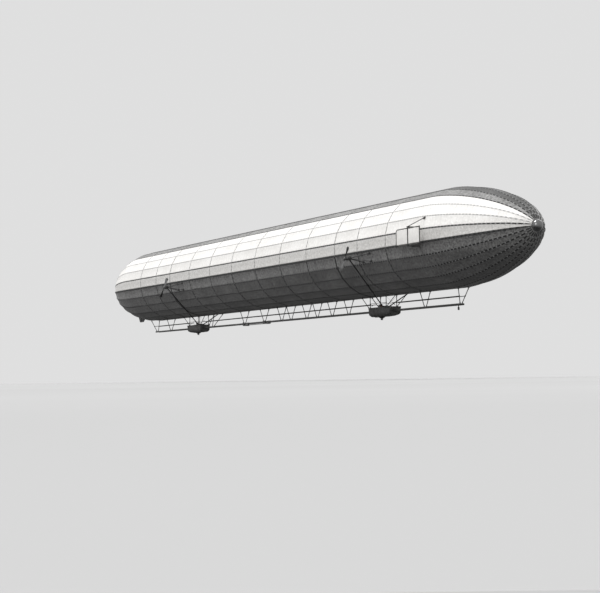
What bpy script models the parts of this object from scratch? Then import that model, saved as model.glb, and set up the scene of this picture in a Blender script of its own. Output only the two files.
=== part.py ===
# Rigid airship of the early cotton-covered kind, as a 1:10 scale model.
# Sizes below are those of the real ship in metres; SCALE turns them into the model.
# Frame: origin at the hull's centre, +X to the nose, +Y to port, +Z up.
import math
import bmesh
import bpy
from mathutils import Matrix, Vector

SCALE = 0.1
GAP = 0.0003              # model metres left between touching pieces
WALL = 0.010              # model metres, thickness of the envelope shell

# hull, real metres
HULL_HALF = 64.0          # half of the length over the bare hull
HULL_R = 5.865            # radius over the corners of the polygon
SIDES = 24                # corners at 7.5, 22.5, 37.5 ... degrees
TAPER = 15.9              # length of each rounded end
TAPER_P = 1.731
TAPER_Q = 0.591
SPLIT = 28.0              # ring where the three hull lengths meet
FLAT = HULL_R * math.cos(math.radians(180.0 / SIDES))
CAP_R = 0.68              # metal cap on each end
CAP_OUT = 0.34            # how far a cap stands beyond the bare hull
RINGS = (-20.0, -12.0, -4.0, 4.0, 12.0, 20.0)
END_RINGS = (32.0, 36.0, 40.0, 44.8, 48.2, 49.6, 51.6, 53.8, 56.0, 57.8, 59.3,
             60.6, 61.6, 62.4, 63.0, 63.4, 63.65, 63.8)

# walkway under the hull
DECK_Z = -7.65            # top of the planks
DECK_T = 0.22
DECK_HALF = 0.33
DECK_END = 48.5
RAIL_Z = -6.82
RAIL_R = 0.045
FRAME_R = 0.050
FRAME_TOP_Y = 0.72
FRAME_LOW_Y = 0.12
FRAME_SINK = 0.05         # how far the legs run into the deck
# V frames: station at the deck, and how far the top leans along the ship
MID_FRAMES = ((-24.4, 2.2), (-12.3, 0.0), (-5.3, 0.0), (0.5, 0.0), (3.5, 0.0), (8.5, 0.0),
              (11.7, 0.0), (16.1, 0.0), (20.8, 0.0))
BOW_FRAMES = ((40.3, 0.0), (48.3, 0.6))
STERN_FRAMES = ((-48.3, -1.0), (-42.1, 0.0))
RAIL_REACH = (0.15, 0.35)  # rails beyond the deck's fore and aft end

# gondolas; distances along the ship count from GON_X towards the ship's end
GON_X = 30.0
GON_IN = 2.40
GON_OUT = 3.05
GON_BEAM = 1.64
GON_RIM = -7.35
GON_BOTTOM = -8.42
GON_WALL = 0.06
GON_SECTION = ((1.0, 1.0), (1.0, 0.50), (0.93, 0.24), (0.78, 0.08), (0.50, 0.0))
GON_STATIONS = ((-GON_IN, 0.93, 0.10), (-GON_IN + 0.12, 1.0, 0.07), (-GON_IN + 0.40, 1.0, 0.0),
                (1.60, 1.0, 0.0), (2.15, 1.0, 0.02), (2.60, 1.0, 0.07), (GON_OUT - 0.12, 1.0, 0.13),
                (GON_OUT, 0.93, 0.15))
BUFFER_DX = -0.40         # towards the stern in both cars
BUFFER_BOTTOM = -8.84
ENGINE = (1.30, 0.66, 1.30)
ENGINE_DX = 0.70          # towards the bow in both cars
BED_T = 0.10
COLUMN = (0.42, 0.32)     # cooler standing behind the engine
COLUMN_DX = -0.72
COLUMN_TOP = -6.80
HANGER_Y = 0.76
POST_DX = (-2.0, 2.1)
HOOP_DX = (-2.34, 2.99)
HOOP = (0.12, 0.10)       # width and height of the gunwale bars
BRACES = ((-2.30, -4.20), (2.10, 4.57))   # foot and head
CAR_RAIL_Z = -6.74
CAR_RAIL_R = 0.03
STRUT_PAD = (0.30, 0.13, 0.05)

# plates by which outriggers stand on the hull
FOOT_T = 0.08
FOOT_REST = 0.062

# propellers
PROP_Y = 7.60
PROP_Z = -1.60
PROP_DX = 4.00            # ahead of the gondola's middle
PROP_R = 1.62
PROP_TILT = 20.0          # degrees from upright at rest, upper blade towards the hull
CASE_DX = 1.05            # gear case ahead of the propeller
BRACKET_FEET = ((0.0, -1.05), (1.9, -1.05), (0.0, -2.0), (1.9, -2.0))
SHAFT_Z = -7.18           # where the drive shafts leave the engine
BLADE_ROOT_W = 0.20
BLADE_TIP_W = 0.46

# bow rudders, one on each side
RUD_X = 49.5
RUD_Y = 7.72
RUD_TOP = 0.80
RUD_BOTTOM = -1.15
RUD_HALF = 2.65
RUD_T = 0.10
STAY_Z = 2.00
ARM_DX = (-2.2, -0.9)     # feet of the arms, behind the post
POST_IN = 0.35            # inner post, off the hull's side
# small rudder under the stern
SRUD_X = -56.0
SRUD_LEN = 3.1
SRUD_TOP_GAP = 0.30
SRUD_BOTTOM = -5.78
SRUD_SLANT = (0.75, 0.55)  # aft and fore edge, drawn in at the bottom
SRUD_PIN = 0.14

# sliding trim weight: two saddles round the walkway's deck, joined by a bar
WEIGHT_X = (-11.9, -4.6)
WEIGHT_LENGTH = (0.50, 0.90)
WEIGHT_DEPTH = (0.14, 0.10)
SLIDE_GAP = 0.055
CHEEK = 0.06
LIP = 0.04                # how far and how thick a saddle's lips lie over the deck

BLOCK_X = 47.76           # pulley block under the fore end of the walkway

COLOURS = {
    "cloth": (0.80, 0.78, 0.72, 1.0), "alu": (0.42, 0.43, 0.44, 1.0),
    "dark": (0.10, 0.10, 0.105, 1.0), "steel": (0.22, 0.22, 0.23, 1.0),
    "iron": (0.13, 0.13, 0.14, 1.0), "lead": (0.16, 0.17, 0.18, 1.0),
    "polish": (0.75, 0.75, 0.76, 1.0),
}


def clear_scene():
    for ob in list(bpy.data.objects):
        bpy.data.objects.remove(ob, do_unlink=True)
    for me in list(bpy.data.meshes):
        bpy.data.meshes.remove(me)
    for ma in list(bpy.data.materials):
        bpy.data.materials.remove(ma)


def material(name, colour, rough, metal):
    ma = bpy.data.materials.new("mat_" + name)
    ma.use_nodes = True
    shader = ma.node_tree.nodes["Principled BSDF"]
    shader.inputs["Base Color"].default_value = COLOURS[colour]
    shader.inputs["Roughness"].default_value = rough
    shader.inputs["Metallic"].default_value = metal
    ma.diffuse_color = COLOURS[colour]
    return ma


LOOK = {
    "cloth": (0.85, 0.0), "alu": (0.42, 0.9), "dark": (0.55, 0.6), "steel": (0.4, 0.9),
    "iron": (0.6, 0.7), "lead": (0.6, 0.5), "polish": (0.2, 1.0),
}


def to_object(name, bm, look, origin=(0.0, 0.0, 0.0)):
    """Turn real-metre geometry into a model-scale object with its own material."""
    centre = Vector(origin)
    for v in bm.verts:
        v.co = (v.co - centre) * SCALE
    bmesh.ops.recalc_face_normals(bm, faces=bm.faces)
    me = bpy.data.meshes.new(name)
    bm.to_mesh(me)
    bm.free()
    ob = bpy.data.objects.new(name, me)
    ob.location = centre * SCALE
    bpy.context.scene.collection.objects.link(ob)
    rough, metal = LOOK[look]
    me.materials.append(material(name, look, rough, metal))
    return ob


def add_prism(bm, low, high):
    """Join two equal loops of points into a closed solid."""
    a = [bm.verts.new(p) for p in low]
    b = [bm.verts.new(p) for p in high]
    n = len(a)
    for i in range(n):
        j = (i + 1) % n
        bm.faces.new((a[i], a[j], b[j], b[i]))
    bm.faces.new(list(reversed(a)))
    bm.faces.new(b)


def add_box(bm, centre, size, turn=None):
    cx, cy, cz = (s * 0.5 for s in size)
    loop = ((-cx, -cy), (cx, -cy), (cx, cy), (-cx, cy))
    low = [Vector((x, y, -cz)) for x, y in loop]
    high = [Vector((x, y, cz)) for x, y in loop]
    if turn is not None:
        low = [turn @ p for p in low]
        high = [turn @ p for p in high]
    c = Vector(centre)
    add_prism(bm, [p + c for p in low], [p + c for p in high])


def add_rod(bm, start, end, radius, sides=8, end_radius=None, spin=0.0):
    a, b = Vector(start), Vector(end)
    axis = (b - a).normalized()
    side = axis.orthogonal().normalized()
    up = axis.cross(side)
    r2 = radius if end_radius is None else end_radius
    low, high = [], []
    for i in range(sides):
        t = spin + 2.0 * math.pi * i / sides
        d = side * math.cos(t) + up * math.sin(t)
        low.append(a + d * radius)
        high.append(b + d * r2)
    add_prism(bm, low, high)


def add_turned(bm, profile, centre, axis, sides=32):
    """Solid of revolution: profile is a list of (along, radius), ends on the axis."""
    ax = Vector(axis).normalized()
    side = ax.orthogonal().normalized()
    up = ax.cross(side)
    c = Vector(centre)
    loops = []
    for along, radius in profile:
        if radius <= 1e-6:
            loops.append([bm.verts.new(c + ax * along)])
            continue
        ring = []
        for i in range(sides):
            t = 2.0 * math.pi * i / sides
            ring.append(bm.verts.new(c + ax * along + (side * math.cos(t) + up * math.sin(t)) * radius))
        loops.append(ring)
    for a, b in zip(loops, loops[1:]):
        for i in range(sides):
            j = (i + 1) % sides
            if len(a) == 1:
                bm.faces.new((a[0], b[j], b[i]))
            elif len(b) == 1:
                bm.faces.new((a[i], a[j], b[0]))
            else:
                bm.faces.new((a[i], a[j], b[j], b[i]))


def loose_parts(bm):
    """Split geometry into one bmesh for each closed solid in it."""
    parts, seen = [], set()
    for start in bm.verts:
        if start in seen:
            continue
        stack, group = [start], []
        seen.add(start)
        while stack:
            v = stack.pop()
            group.append(v)
            for edge in v.link_edges:
                w = edge.other_vert(v)
                if w not in seen:
                    seen.add(w)
                    stack.append(w)
        new = bmesh.new()
        twin = {v: new.verts.new(v.co) for v in group}
        for face in {f for v in group for f in v.link_faces}:
            new.faces.new([twin[v] for v in face.verts])
        parts.append(new)
    bm.free()
    return parts


def fuse(name, bm_base, bm_rest, look, origin=(0.0, 0.0, 0.0)):
    """Union of overlapping solids into one closed body."""
    base = to_object(name, bm_base, look, origin)
    group = bpy.data.collections.new(name + "_tools")
    bpy.context.scene.collection.children.link(group)
    tools = []
    for part in loose_parts(bm_rest):
        tool = to_object(name + "_tool", part, look, origin)
        bpy.context.scene.collection.objects.unlink(tool)
        group.objects.link(tool)
        tools.append(tool)
    mod = base.modifiers.new("join", "BOOLEAN")
    mod.operation = "UNION"
    mod.solver = "EXACT"
    mod.operand_type = "COLLECTION"
    mod.collection = group
    bake(base)
    for tool in tools:
        drop(tool)
    bpy.data.collections.remove(group)
    return base


def cut(base, tool):
    mod = base.modifiers.new("cut", "BOOLEAN")
    mod.operation = "DIFFERENCE"
    mod.solver = "EXACT"
    mod.object = tool
    bake(base)
    drop(tool)


def bake(ob):
    graph = bpy.context.evaluated_depsgraph_get()
    graph.update()
    new = bpy.data.meshes.new_from_object(ob.evaluated_get(graph))
    old = ob.data
    ob.modifiers.clear()
    ob.data = new
    new.name = ob.name
    keep = old.materials[0]
    new.materials.clear()
    new.materials.append(keep)
    bpy.data.meshes.remove(old)
    for poly in new.polygons:
        poly.material_index = 0


def drop(ob):
    me = ob.data
    mats = [m for m in me.materials]
    bpy.data.objects.remove(ob, do_unlink=True)
    bpy.data.meshes.remove(me)
    for m in mats:
        bpy.data.materials.remove(m)


def hull_radius(x):
    """Corner radius of the hull at a station."""
    d = HULL_HALF - abs(x)
    if d >= TAPER:
        return HULL_R
    t = max(0.0, d / TAPER)
    return HULL_R * (1.0 - (1.0 - t) ** TAPER_P) ** TAPER_Q


def corner(x, radius, k):
    t = math.radians((k + 0.5) * 360.0 / SIDES)
    return (x, radius * math.cos(t), radius * math.sin(t))


def inner_profile(stations):
    """The outer line moved inwards by the wall, square to itself."""
    wall = WALL / SCALE
    pts = [(x, hull_radius(x)) for x in stations]
    out = []
    for i, (x, r) in enumerate(pts):
        x0, r0 = pts[max(0, i - 1)]
        x1, r1 = pts[min(len(pts) - 1, i + 1)]
        dx, dr = x1 - x0, r1 - r0
        length = math.hypot(dx, dr)
        nx, nr = dr / length, -dx / length
        if dx < 0:
            nx, nr = -nx, -nr
        shift = 0.0 if i == 0 or (i == len(pts) - 1 and r > 5.0) else nx * wall
        out.append((x + shift, max(0.12, r + nr * wall / math.cos(math.pi / SIDES))))
    return out


def hull_length(name, stations):
    """One open-ended length of the envelope with a wall of constant thickness."""
    outer = [(x, hull_radius(x)) for x in stations]
    inner = inner_profile(stations)
    bm = bmesh.new()
    rings = []
    for line in (outer, inner):
        rings.append([[bm.verts.new(corner(x, r, k)) for k in range(SIDES)] for x, r in line])
    for line in rings:
        for a, b in zip(line, line[1:]):
            for k in range(SIDES):
                m = (k + 1) % SIDES
                bm.faces.new((a[k], a[m], b[m], b[k]))
    for end in (0, -1):
        a, b = rings[0][end], rings[1][end]
        for k in range(SIDES):
            m = (k + 1) % SIDES
            bm.faces.new((a[k], a[m], b[m], b[k]))
    return to_object(name, bm, "cloth")


def envelope():
    slit = 0.5 * GAP / SCALE
    mid = (-SPLIT + slit,) + RINGS + (SPLIT - slit,)
    hull_length("envelope_middle", mid)
    bow = (SPLIT + slit,) + END_RINGS
    hull_length("envelope_bow", bow)
    hull_length("envelope_stern", tuple(-x for x in bow))


def end_cap(name, sign):
    """Round metal boss closing the end of the envelope."""
    x0 = END_RINGS[-1]
    r0 = hull_radius(x0)
    face = x0 + GAP / SCALE
    stem = r0 - 0.12 - GAP / SCALE - 0.02
    bm = bmesh.new()
    top = HULL_HALF + CAP_OUT
    profile = [(x0 - 0.30, 0.0), (x0 - 0.30, stem * 0.9), (face, stem), (face, CAP_R)]
    steps = 7
    for i in range(1, steps + 1):
        t = i / steps * math.pi / 2.0
        along = face + 0.06 + (top - face - 0.06) * math.sin(t)
        profile.append((along, CAP_R * math.cos(t) if i < steps else 0.0))
    profile.insert(4, (face + 0.06, CAP_R))
    if sign < 0:
        profile = [(-a, r) for a, r in profile]
    add_turned(bm, profile, (0.0, 0.0, 0.0), (1.0, 0.0, 0.0), 36)
    return to_object(name, bm, "polish")


def frame_legs(bm, x, lean):
    """One V of the walkway: two legs from the hull's bottom corners to the deck."""
    for side in (-1.0, 1.0):
        top = Vector((x + lean, side * FRAME_TOP_Y, -FLAT - STRUT_PAD[2]))
        low = Vector((x, side * FRAME_LOW_Y, DECK_Z - FRAME_SINK))
        add_rod(bm, low, top, FRAME_R, 8)
        add_strut_pad(bm, x + lean, side * FRAME_TOP_Y)


def add_strut_pad(bm, x, y):
    """Plate at the head of a strut, just clear of the hull's bottom facet."""
    add_box(bm, (x, y, -FLAT - 0.01 - STRUT_PAD[2] * 0.5), STRUT_PAD)


def rail_y(z):
    """Half distance between the legs of a V frame at a height."""
    low = DECK_Z - FRAME_SINK
    return FRAME_LOW_Y + (FRAME_TOP_Y - FRAME_LOW_Y) * (z - low) / (-FLAT - low)


def walkway(name, x0, x1, frames, rails):
    """Deck on V frames with a hand rail on both sides."""
    base = bmesh.new()
    add_box(base, (0.5 * (x0 + x1), 0.0, DECK_Z - DECK_T * 0.5), (x1 - x0, DECK_HALF * 2.0, DECK_T))
    rest = bmesh.new()
    for x, lean in frames:
        frame_legs(rest, x, lean)
    y = rail_y(RAIL_Z)
    for side in (-1.0, 1.0):
        add_rod(rest, (rails[0], side * y, RAIL_Z), (rails[1], side * y, RAIL_Z), RAIL_R, 8, spin=0.2)
    return fuse(name, base, rest, "dark")


def walkways():
    near = GON_X - GON_IN - GAP / SCALE
    far = GON_X + GON_OUT + GAP / SCALE
    inset = 0.1
    walkway("walkway_middle", -near, near, MID_FRAMES, (-near + inset, near - inset))
    walkway("walkway_bow", far, DECK_END, BOW_FRAMES, (far + inset, DECK_END + RAIL_REACH[0]))
    walkway("walkway_stern", -DECK_END, -far, STERN_FRAMES, (-DECK_END - RAIL_REACH[1], -far - inset))


def gondola_loops(sign, inset):
    """Cross-sections of a car from its inner to its outer end, moved in by inset."""
    loops = []
    for i, (dx, full, rise) in enumerate(GON_STATIONS):
        beam = GON_BEAM * 0.5 * full - inset
        bottom = GON_BOTTOM + rise + inset
        top = GON_RIM + (0.2 if inset else 0.0)
        if i == 0:
            dx += inset
        if i == len(GON_STATIONS) - 1:
            dx -= inset
        half = [(w * beam, bottom + (top - bottom) * h) for w, h in GON_SECTION]
        loop = [(-y, z) for y, z in half] + [(y, z) for y, z in reversed(half)]
        loops.append([Vector((sign * (GON_X + dx), y, z)) for y, z in loop])
    return loops


def gondola(name, sign):
    """Open blunt-ended car: the outer shape with the inner one cut out of it."""
    skins = []
    for inset in (0.0, GON_WALL):
        bm = bmesh.new()
        add_loft(bm, gondola_loops(sign, inset))
        skins.append(to_object(name if inset == 0.0 else name + "_tool", bm, "alu"))
    cut(skins[0], skins[1])
    return skins[0]


def add_loft(bm, loops):
    rows = [[bm.verts.new(p) for p in loop] for loop in loops]
    n = len(rows[0])
    for a, b in zip(rows, rows[1:]):
        for i in range(n):
            j = (i + 1) % n
            bm.faces.new((a[i], a[j], b[j], b[i]))
    bm.faces.new(list(reversed(rows[0])))
    bm.faces.new(rows[-1])


def engine(name, sign):
    """Engine with its cooler, on one bed plate."""
    floor = GON_BOTTOM + GON_WALL + GAP / SCALE
    length, width, height = ENGINE
    middle = sign * GON_X + ENGINE_DX
    column = sign * GON_X + COLUMN_DX
    base = bmesh.new()
    add_box(base, (middle, 0.0, floor + height * 0.5), (length, width, height))
    rest = bmesh.new()
    bed = (middle - column, COLUMN[1] - 0.02, BED_T)
    add_box(rest, (0.5 * (middle + column), 0.0, floor + BED_T * 0.5), bed)
    tall = COLUMN_TOP - floor - 0.01
    add_box(rest, (column, 0.0, floor + 0.01 + tall * 0.5), (COLUMN[0], COLUMN[1], tall))
    return fuse(name, base, rest, "iron")


def hanger(name, sign):
    """Gunwale hoop round the car, and the posts and braces that carry it from the hull."""
    z = GON_RIM + GAP / SCALE + HOOP[1] * 0.5
    top = -FLAT - 0.04
    place = [sign * (GON_X + dx) for dx in HOOP_DX]
    span = abs(place[1] - place[0]) + HOOP[0]
    base = bmesh.new()
    rest = bmesh.new()
    for bm, side in ((base, -1.0), (rest, 1.0)):
        add_box(bm, (0.5 * (place[0] + place[1]), side * HANGER_Y, z), (span, HOOP[0], HOOP[1]))
    for x in place:
        add_box(rest, (x, 0.0, z), (HOOP[0], 2.0 * HANGER_Y, HOOP[1]))
    posts = [sign * (GON_X + dx) for dx in POST_DX]
    for side in (-1.0, 1.0):
        y = side * HANGER_Y
        for x in posts:
            add_rod(rest, (x, y, z), (x, y, top), 0.05, 8)
            add_strut_pad(rest, x, y)
        for foot, head in BRACES:
            x = sign * (GON_X + head)
            add_rod(rest, (sign * (GON_X + foot), y, z), (x, y, top - 0.03), 0.045, 8)
            add_strut_pad(rest, x, y)
        add_rod(rest, (posts[0], y, CAR_RAIL_Z), (posts[1], y, CAR_RAIL_Z), CAR_RAIL_R, 8)
    return fuse(name, base, rest, "steel")


def buffer(name, sign):
    """Landing buffer below the car: sprung stem with a small round pad."""
    top = GON_BOTTOM - GAP / SCALE
    bm = bmesh.new()
    h = top - BUFFER_BOTTOM
    profile = [(0.0, 0.0), (0.0, 0.42), (0.07, 0.44), (0.14, 0.30), (h - 0.16, 0.13),
               (h - 0.10, 0.16), (h, 0.16), (h, 0.0)]
    add_turned(bm, profile, (sign * GON_X + BUFFER_DX, 0.0, top), (0.0, 0.0, -1.0), 28)
    return to_object(name, bm, "dark")


def prop_place(end, side):
    x = end * GON_X + PROP_DX
    return Vector((x, side * PROP_Y, PROP_Z))


def prop_bracket(name, end, side):
    """Outrigger from the hull's side with the gear case that carries a propeller."""
    hub = prop_place(end, side)
    case = hub + Vector((CASE_DX, 0.0, 0.0))
    base = bmesh.new()
    add_rod(base, case + Vector((-0.30, 0, 0)), case + Vector((0.34, 0, 0)), 0.24, 16)
    rest = bmesh.new()
    add_rod(rest, case + Vector((-0.28, 0, 0)), hub + Vector((0.22, 0, 0)), 0.10, 16)
    add_rod(rest, case + Vector((0.28, 0, 0)), case + Vector((0.46, 0, 0)), 0.13, 16)
    for dx, z in BRACKET_FEET:
        foot = side_point(case.x + dx, z, side)
        add_rod(rest, case, foot[0] + foot[1] * FOOT_REST, 0.055, 8)
        add_foot(rest, foot[0], foot[1])
    fuse(name, base, rest, "dark")


def side_point(x, z, side):
    """Point on the hull's skin at a height, with the outward direction of its facet."""
    step = math.radians(360.0 / SIDES)
    k = 0
    while z > HULL_R * math.sin((k + 0.5) * step):
        k += 1
    while z < HULL_R * math.sin((k - 0.5) * step):
        k -= 1
    n = Vector((0.0, math.cos(k * step), math.sin(k * step)))
    y = (FLAT - n.z * z) / n.y
    return Vector((x, side * y, z)), Vector((0.0, side * n.y, n.z))


def add_foot(bm, point, normal):
    """Small square plate lying on the hull's skin."""
    gap = GAP / SCALE
    side = (Vector((1.0, 0.0, 0.0)) - normal * normal.x).normalized()
    up = normal.cross(side).normalized()
    low = point + normal * gap
    high = point + normal * (gap + FOOT_T)
    loop = ((-1, -1), (1, -1), (1, 1), (-1, 1))
    a = [low + side * (0.16 * i) + up * (0.13 * j) for i, j in loop]
    b = [high + side * (0.16 * i) + up * (0.13 * j) for i, j in loop]
    add_prism(bm, a, b)


def propeller(name, end, side):
    """Two-bladed screw; its origin lies on the shaft."""
    hub = prop_place(end, side)
    base = bmesh.new()
    add_turned(base, [(-0.20, 0.0), (-0.16, 0.09), (-0.06, 0.15), (0.10, 0.15), (0.155, 0.12),
                      (0.155, 0.0)], hub, (1.0, 0.0, 0.0), 20)
    rest = bmesh.new()
    for turn in (0.0, 180.0):
        add_blade(rest, hub, math.radians(turn + side * PROP_TILT), side * end)
    return fuse(name, base, rest, "alu", origin=hub)


def add_blade(bm, hub, angle, hand):
    """Twisted blade that widens to a rounded tip."""
    loops = []
    for t, width, pitch, thick in ((0.04, BLADE_ROOT_W, 62, 0.10), (0.25, 0.22, 50, 0.080),
                                   (0.45, 0.30, 38, 0.060), (0.65, 0.38, 30, 0.050),
                                   (0.82, BLADE_TIP_W, 25, 0.040), (0.95, 0.40, 22, 0.035),
                                   (1.0, 0.20, 21, 0.030)):
        r = PROP_R * t
        p = math.radians(pitch) * hand
        chord = Vector((math.sin(p), math.cos(p), 0.0))
        face = Vector((math.cos(p), -math.sin(p), 0.0))
        loop = []
        for a, b in ((-0.5, 0.0), (-0.25, -0.5), (0.15, -0.5), (0.5, 0.0), (0.15, 0.5), (-0.25, 0.5)):
            q = chord * (a * width) + face * (b * thick) + Vector((0.0, 0.0, r))
            q = Matrix.Rotation(angle, 3, "X") @ q
            loop.append(q + hub)
        loops.append(loop)
    add_loft(bm, loops)


def drive_shaft(name, end, side):
    """Rod from the car's engine up to the gear case, clear of the hull."""
    hub = prop_place(end, side)
    case = hub + Vector((CASE_DX, 0.0, 0.0))
    start = Vector((end * GON_X + ENGINE_DX, side * (ENGINE[1] * 0.5 + GAP / SCALE), SHAFT_Z))
    low = start + Vector((0.0, side * 0.12, 0.0))
    line = (case - low).normalized()
    base = bmesh.new()
    add_box(base, start + Vector((0.0, side * 0.10, 0.0)), (0.24, 0.20, 0.22))
    rest = bmesh.new()
    add_rod(rest, low, case - line * 0.33, 0.05, 10)
    add_rod(rest, case - line * 0.60, case - line * 0.33, 0.09, 12)
    return fuse(name, base, rest, "steel")


def rudder_frame(name, side):
    """Arms and stay that hold a bow rudder out from the hull's side."""
    base = bmesh.new()
    rest = bmesh.new()
    top = Vector((RUD_X, side * RUD_Y, RUD_TOP + 0.13))
    low = Vector((RUD_X, side * RUD_Y, RUD_BOTTOM - 0.13))
    add_rod(base, top - Vector((0, 0, 0.06)), top + Vector((0, 0, 0.06)), 0.12, 16)
    for at in (top, low):
        for dx in ARM_DX:
            foot = skin_point(at.x + dx, at.z * 0.8, side)
            add_rod(rest, at, foot[0] + foot[1] * FOOT_REST, 0.05, 8)
            add_foot(rest, foot[0], foot[1])
    add_rod(rest, low - Vector((0, 0, 0.06)), low + Vector((0, 0, 0.06)), 0.12, 16)
    inner_top = Vector((RUD_X, side * (FLAT + POST_IN), top.z))
    inner_low = Vector((RUD_X, side * (FLAT + POST_IN), low.z))
    add_rod(rest, inner_top, inner_low, 0.05, 8)
    add_rod(rest, top, inner_top, 0.05, 8)
    add_rod(rest, low, inner_low, 0.05, 8)
    stay = skin_point(RUD_X, STAY_Z, side)
    add_rod(rest, top, stay[0] + stay[1] * FOOT_REST, 0.045, 8)
    add_foot(rest, stay[0], stay[1])
    return fuse(name, base, rest, "dark")


def skin_point(x, z, side):
    """Like side_point, on the tapering part of the hull."""
    k = hull_radius(x) / HULL_R
    point, normal = side_point(x, z / k, side)
    point = Vector((x, point.y * k, point.z * k))
    slope = (hull_radius(x + 0.05) - hull_radius(x - 0.05)) / 0.1
    normal = Vector((-slope, normal.y, normal.z)).normalized()
    return point, normal


def rudder(name, side):
    """Two cloth-covered panels on a shared post; the origin lies on the post."""
    post = Vector((RUD_X, side * RUD_Y, 0.5 * (RUD_TOP + RUD_BOTTOM)))
    height = RUD_TOP - RUD_BOTTOM
    base = bmesh.new()
    add_rod(base, post - Vector((0, 0, height * 0.5 + 0.055)), post + Vector((0, 0, height * 0.5 + 0.055)),
            0.075, 12)
    rest = bmesh.new()
    add_box(rest, post, (2.0 * RUD_HALF, RUD_T * 0.6, height - 0.1))
    for dz in (-0.5, 0.5):
        add_box(rest, post + Vector((0, 0, dz * (height - 0.1))), (2.0 * RUD_HALF, RUD_T, 0.10))
    for dx in (-1.0, 1.0):
        add_box(rest, post + Vector((dx * (RUD_HALF - 0.05), 0, 0)), (0.10, RUD_T, height))
    return fuse(name, base, rest, "cloth", origin=post)


def hull_floor(x):
    """Height of the hull's bottom facet at a station."""
    return -hull_radius(x) * math.cos(math.pi / SIDES)


def stern_rudder():
    """Small blade under the stern, turning on an upright pin."""
    x0, x1 = SRUD_X - SRUD_LEN * 0.5, SRUD_X + SRUD_LEN * 0.5
    line = [(x0, hull_floor(x0) - SRUD_TOP_GAP), (x1, hull_floor(x1) - SRUD_TOP_GAP),
            (x1 - SRUD_SLANT[1], SRUD_BOTTOM), (x0 + SRUD_SLANT[0], SRUD_BOTTOM)]
    base = bmesh.new()
    add_prism(base, [Vector((a, -0.05, b)) for a, b in line], [Vector((a, 0.05, b)) for a, b in line])
    rest = bmesh.new()
    top = hull_floor(SRUD_X) - SRUD_PIN
    add_rod(rest, (SRUD_X, 0.0, SRUD_BOTTOM - 0.06), (SRUD_X, 0.0, top), 0.075, 12)
    fuse("stern_rudder", base, rest, "cloth", origin=(SRUD_X, 0.0, top))


def stern_rudder_foot():
    """Plate on the hull that the stern rudder's pin hangs from."""
    slope = (hull_floor(SRUD_X + 0.2) - hull_floor(SRUD_X - 0.2)) / 0.4
    gap = GAP / SCALE
    bm = bmesh.new()
    low, high = [], []
    for dx, y in ((-0.25, -0.2), (0.25, -0.2), (0.25, 0.2), (-0.25, 0.2)):
        low.append(Vector((SRUD_X + dx, y, hull_floor(SRUD_X) - SRUD_PIN + gap)))
        high.append(Vector((SRUD_X + dx, y, hull_floor(SRUD_X) + slope * dx - gap - 0.01)))
    add_prism(bm, low, high)
    return to_object("stern_rudder_foot", bm, "dark")


def running_weight():
    """Two lead saddles that reach round the deck from below, on one bar."""
    under = DECK_Z - DECK_T - SLIDE_GAP
    over = DECK_Z + SLIDE_GAP
    inner = DECK_HALF + SLIDE_GAP
    x0, x1 = WEIGHT_X
    bar_z = under - 0.05
    base = bmesh.new()
    add_box(base, (0.5 * (x0 + x1), 0.0, bar_z), (x1 - x0, 0.12, 0.08))
    rest = bmesh.new()
    for x, length, depth in zip(WEIGHT_X, WEIGHT_LENGTH, WEIGHT_DEPTH):
        add_box(rest, (x, 0.0, under - depth * 0.5), (length, 2.0 * (inner + CHEEK), depth))
        for side in (-1.0, 1.0):
            y = side * (inner + CHEEK * 0.5)
            height = over + LIP - under + 0.02
            add_box(rest, (x, y, over + LIP - height * 0.5), (length - 0.02, CHEEK, height))
            reach = SLIDE_GAP + LIP + CHEEK * 0.5
            add_box(rest, (x, side * (inner + CHEEK * 0.5 - reach * 0.5), over + LIP * 0.5 - 0.002),
                    (length - 0.04, reach, LIP - 0.004))
    fuse("running_weight", base, rest, "lead", origin=(0.5 * (x0 + x1), 0.0, bar_z))


def bow_pendant():
    """Small pulley block hanging from the front end of the walkway."""
    top = DECK_Z - DECK_T - GAP / SCALE
    bm = bmesh.new()
    profile = [(0.0, 0.0), (0.0, 0.06), (0.22, 0.06), (0.28, 0.13), (0.46, 0.15), (0.56, 0.08),
               (0.56, 0.0)]
    add_turned(bm, profile, (BLOCK_X, 0.0, top), (0.0, 0.0, -1.0), 16)
    return to_object("bow_line_block", bm, "dark")


def shade():
    """Round pieces smooth; the hull keeps its flat sides."""
    for ob in bpy.data.objects:
        limit = 10.0 if ob.name.startswith("envelope") else 40.0
        ob.data.shade_smooth()
        ob.data.set_sharp_from_angle(angle=math.radians(limit))


def build():
    clear_scene()
    envelope()
    end_cap("nose_cap", 1.0)
    end_cap("tail_cap", -1.0)
    walkways()
    for tag, end in (("fore", 1.0), ("aft", -1.0)):
        gondola("gondola_" + tag, end)
        engine("engine_" + tag, end)
        hanger("hanger_" + tag, end)
        buffer("buffer_" + tag, end)
        for side_tag, side in (("port", 1.0), ("starboard", -1.0)):
            where = tag + "_" + side_tag
            prop_bracket("prop_bracket_" + where, end, side)
            propeller("propeller_" + where, end, side)
            drive_shaft("drive_shaft_" + where, end, side)
    for side_tag, side in (("port", 1.0), ("starboard", -1.0)):
        rudder_frame("rudder_frame_" + side_tag, side)
        rudder("rudder_" + side_tag, side)
    stern_rudder()
    stern_rudder_foot()
    running_weight()
    bow_pendant()
    shade()


build()
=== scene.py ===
# Looks of the rigid airship: cloth, metalwork, rigging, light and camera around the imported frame.
# Shapes are written in metres of the real ship; UNIT turns them into the 1:10 model.
# +X is the nose, +Y port, +Z up, and the origin is the middle of the hull.
import random
import bmesh
import bpy
from math import atan, copysign, cos, degrees, pi, radians, sin, sqrt, tan
from mathutils import Matrix, Vector, noise


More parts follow.
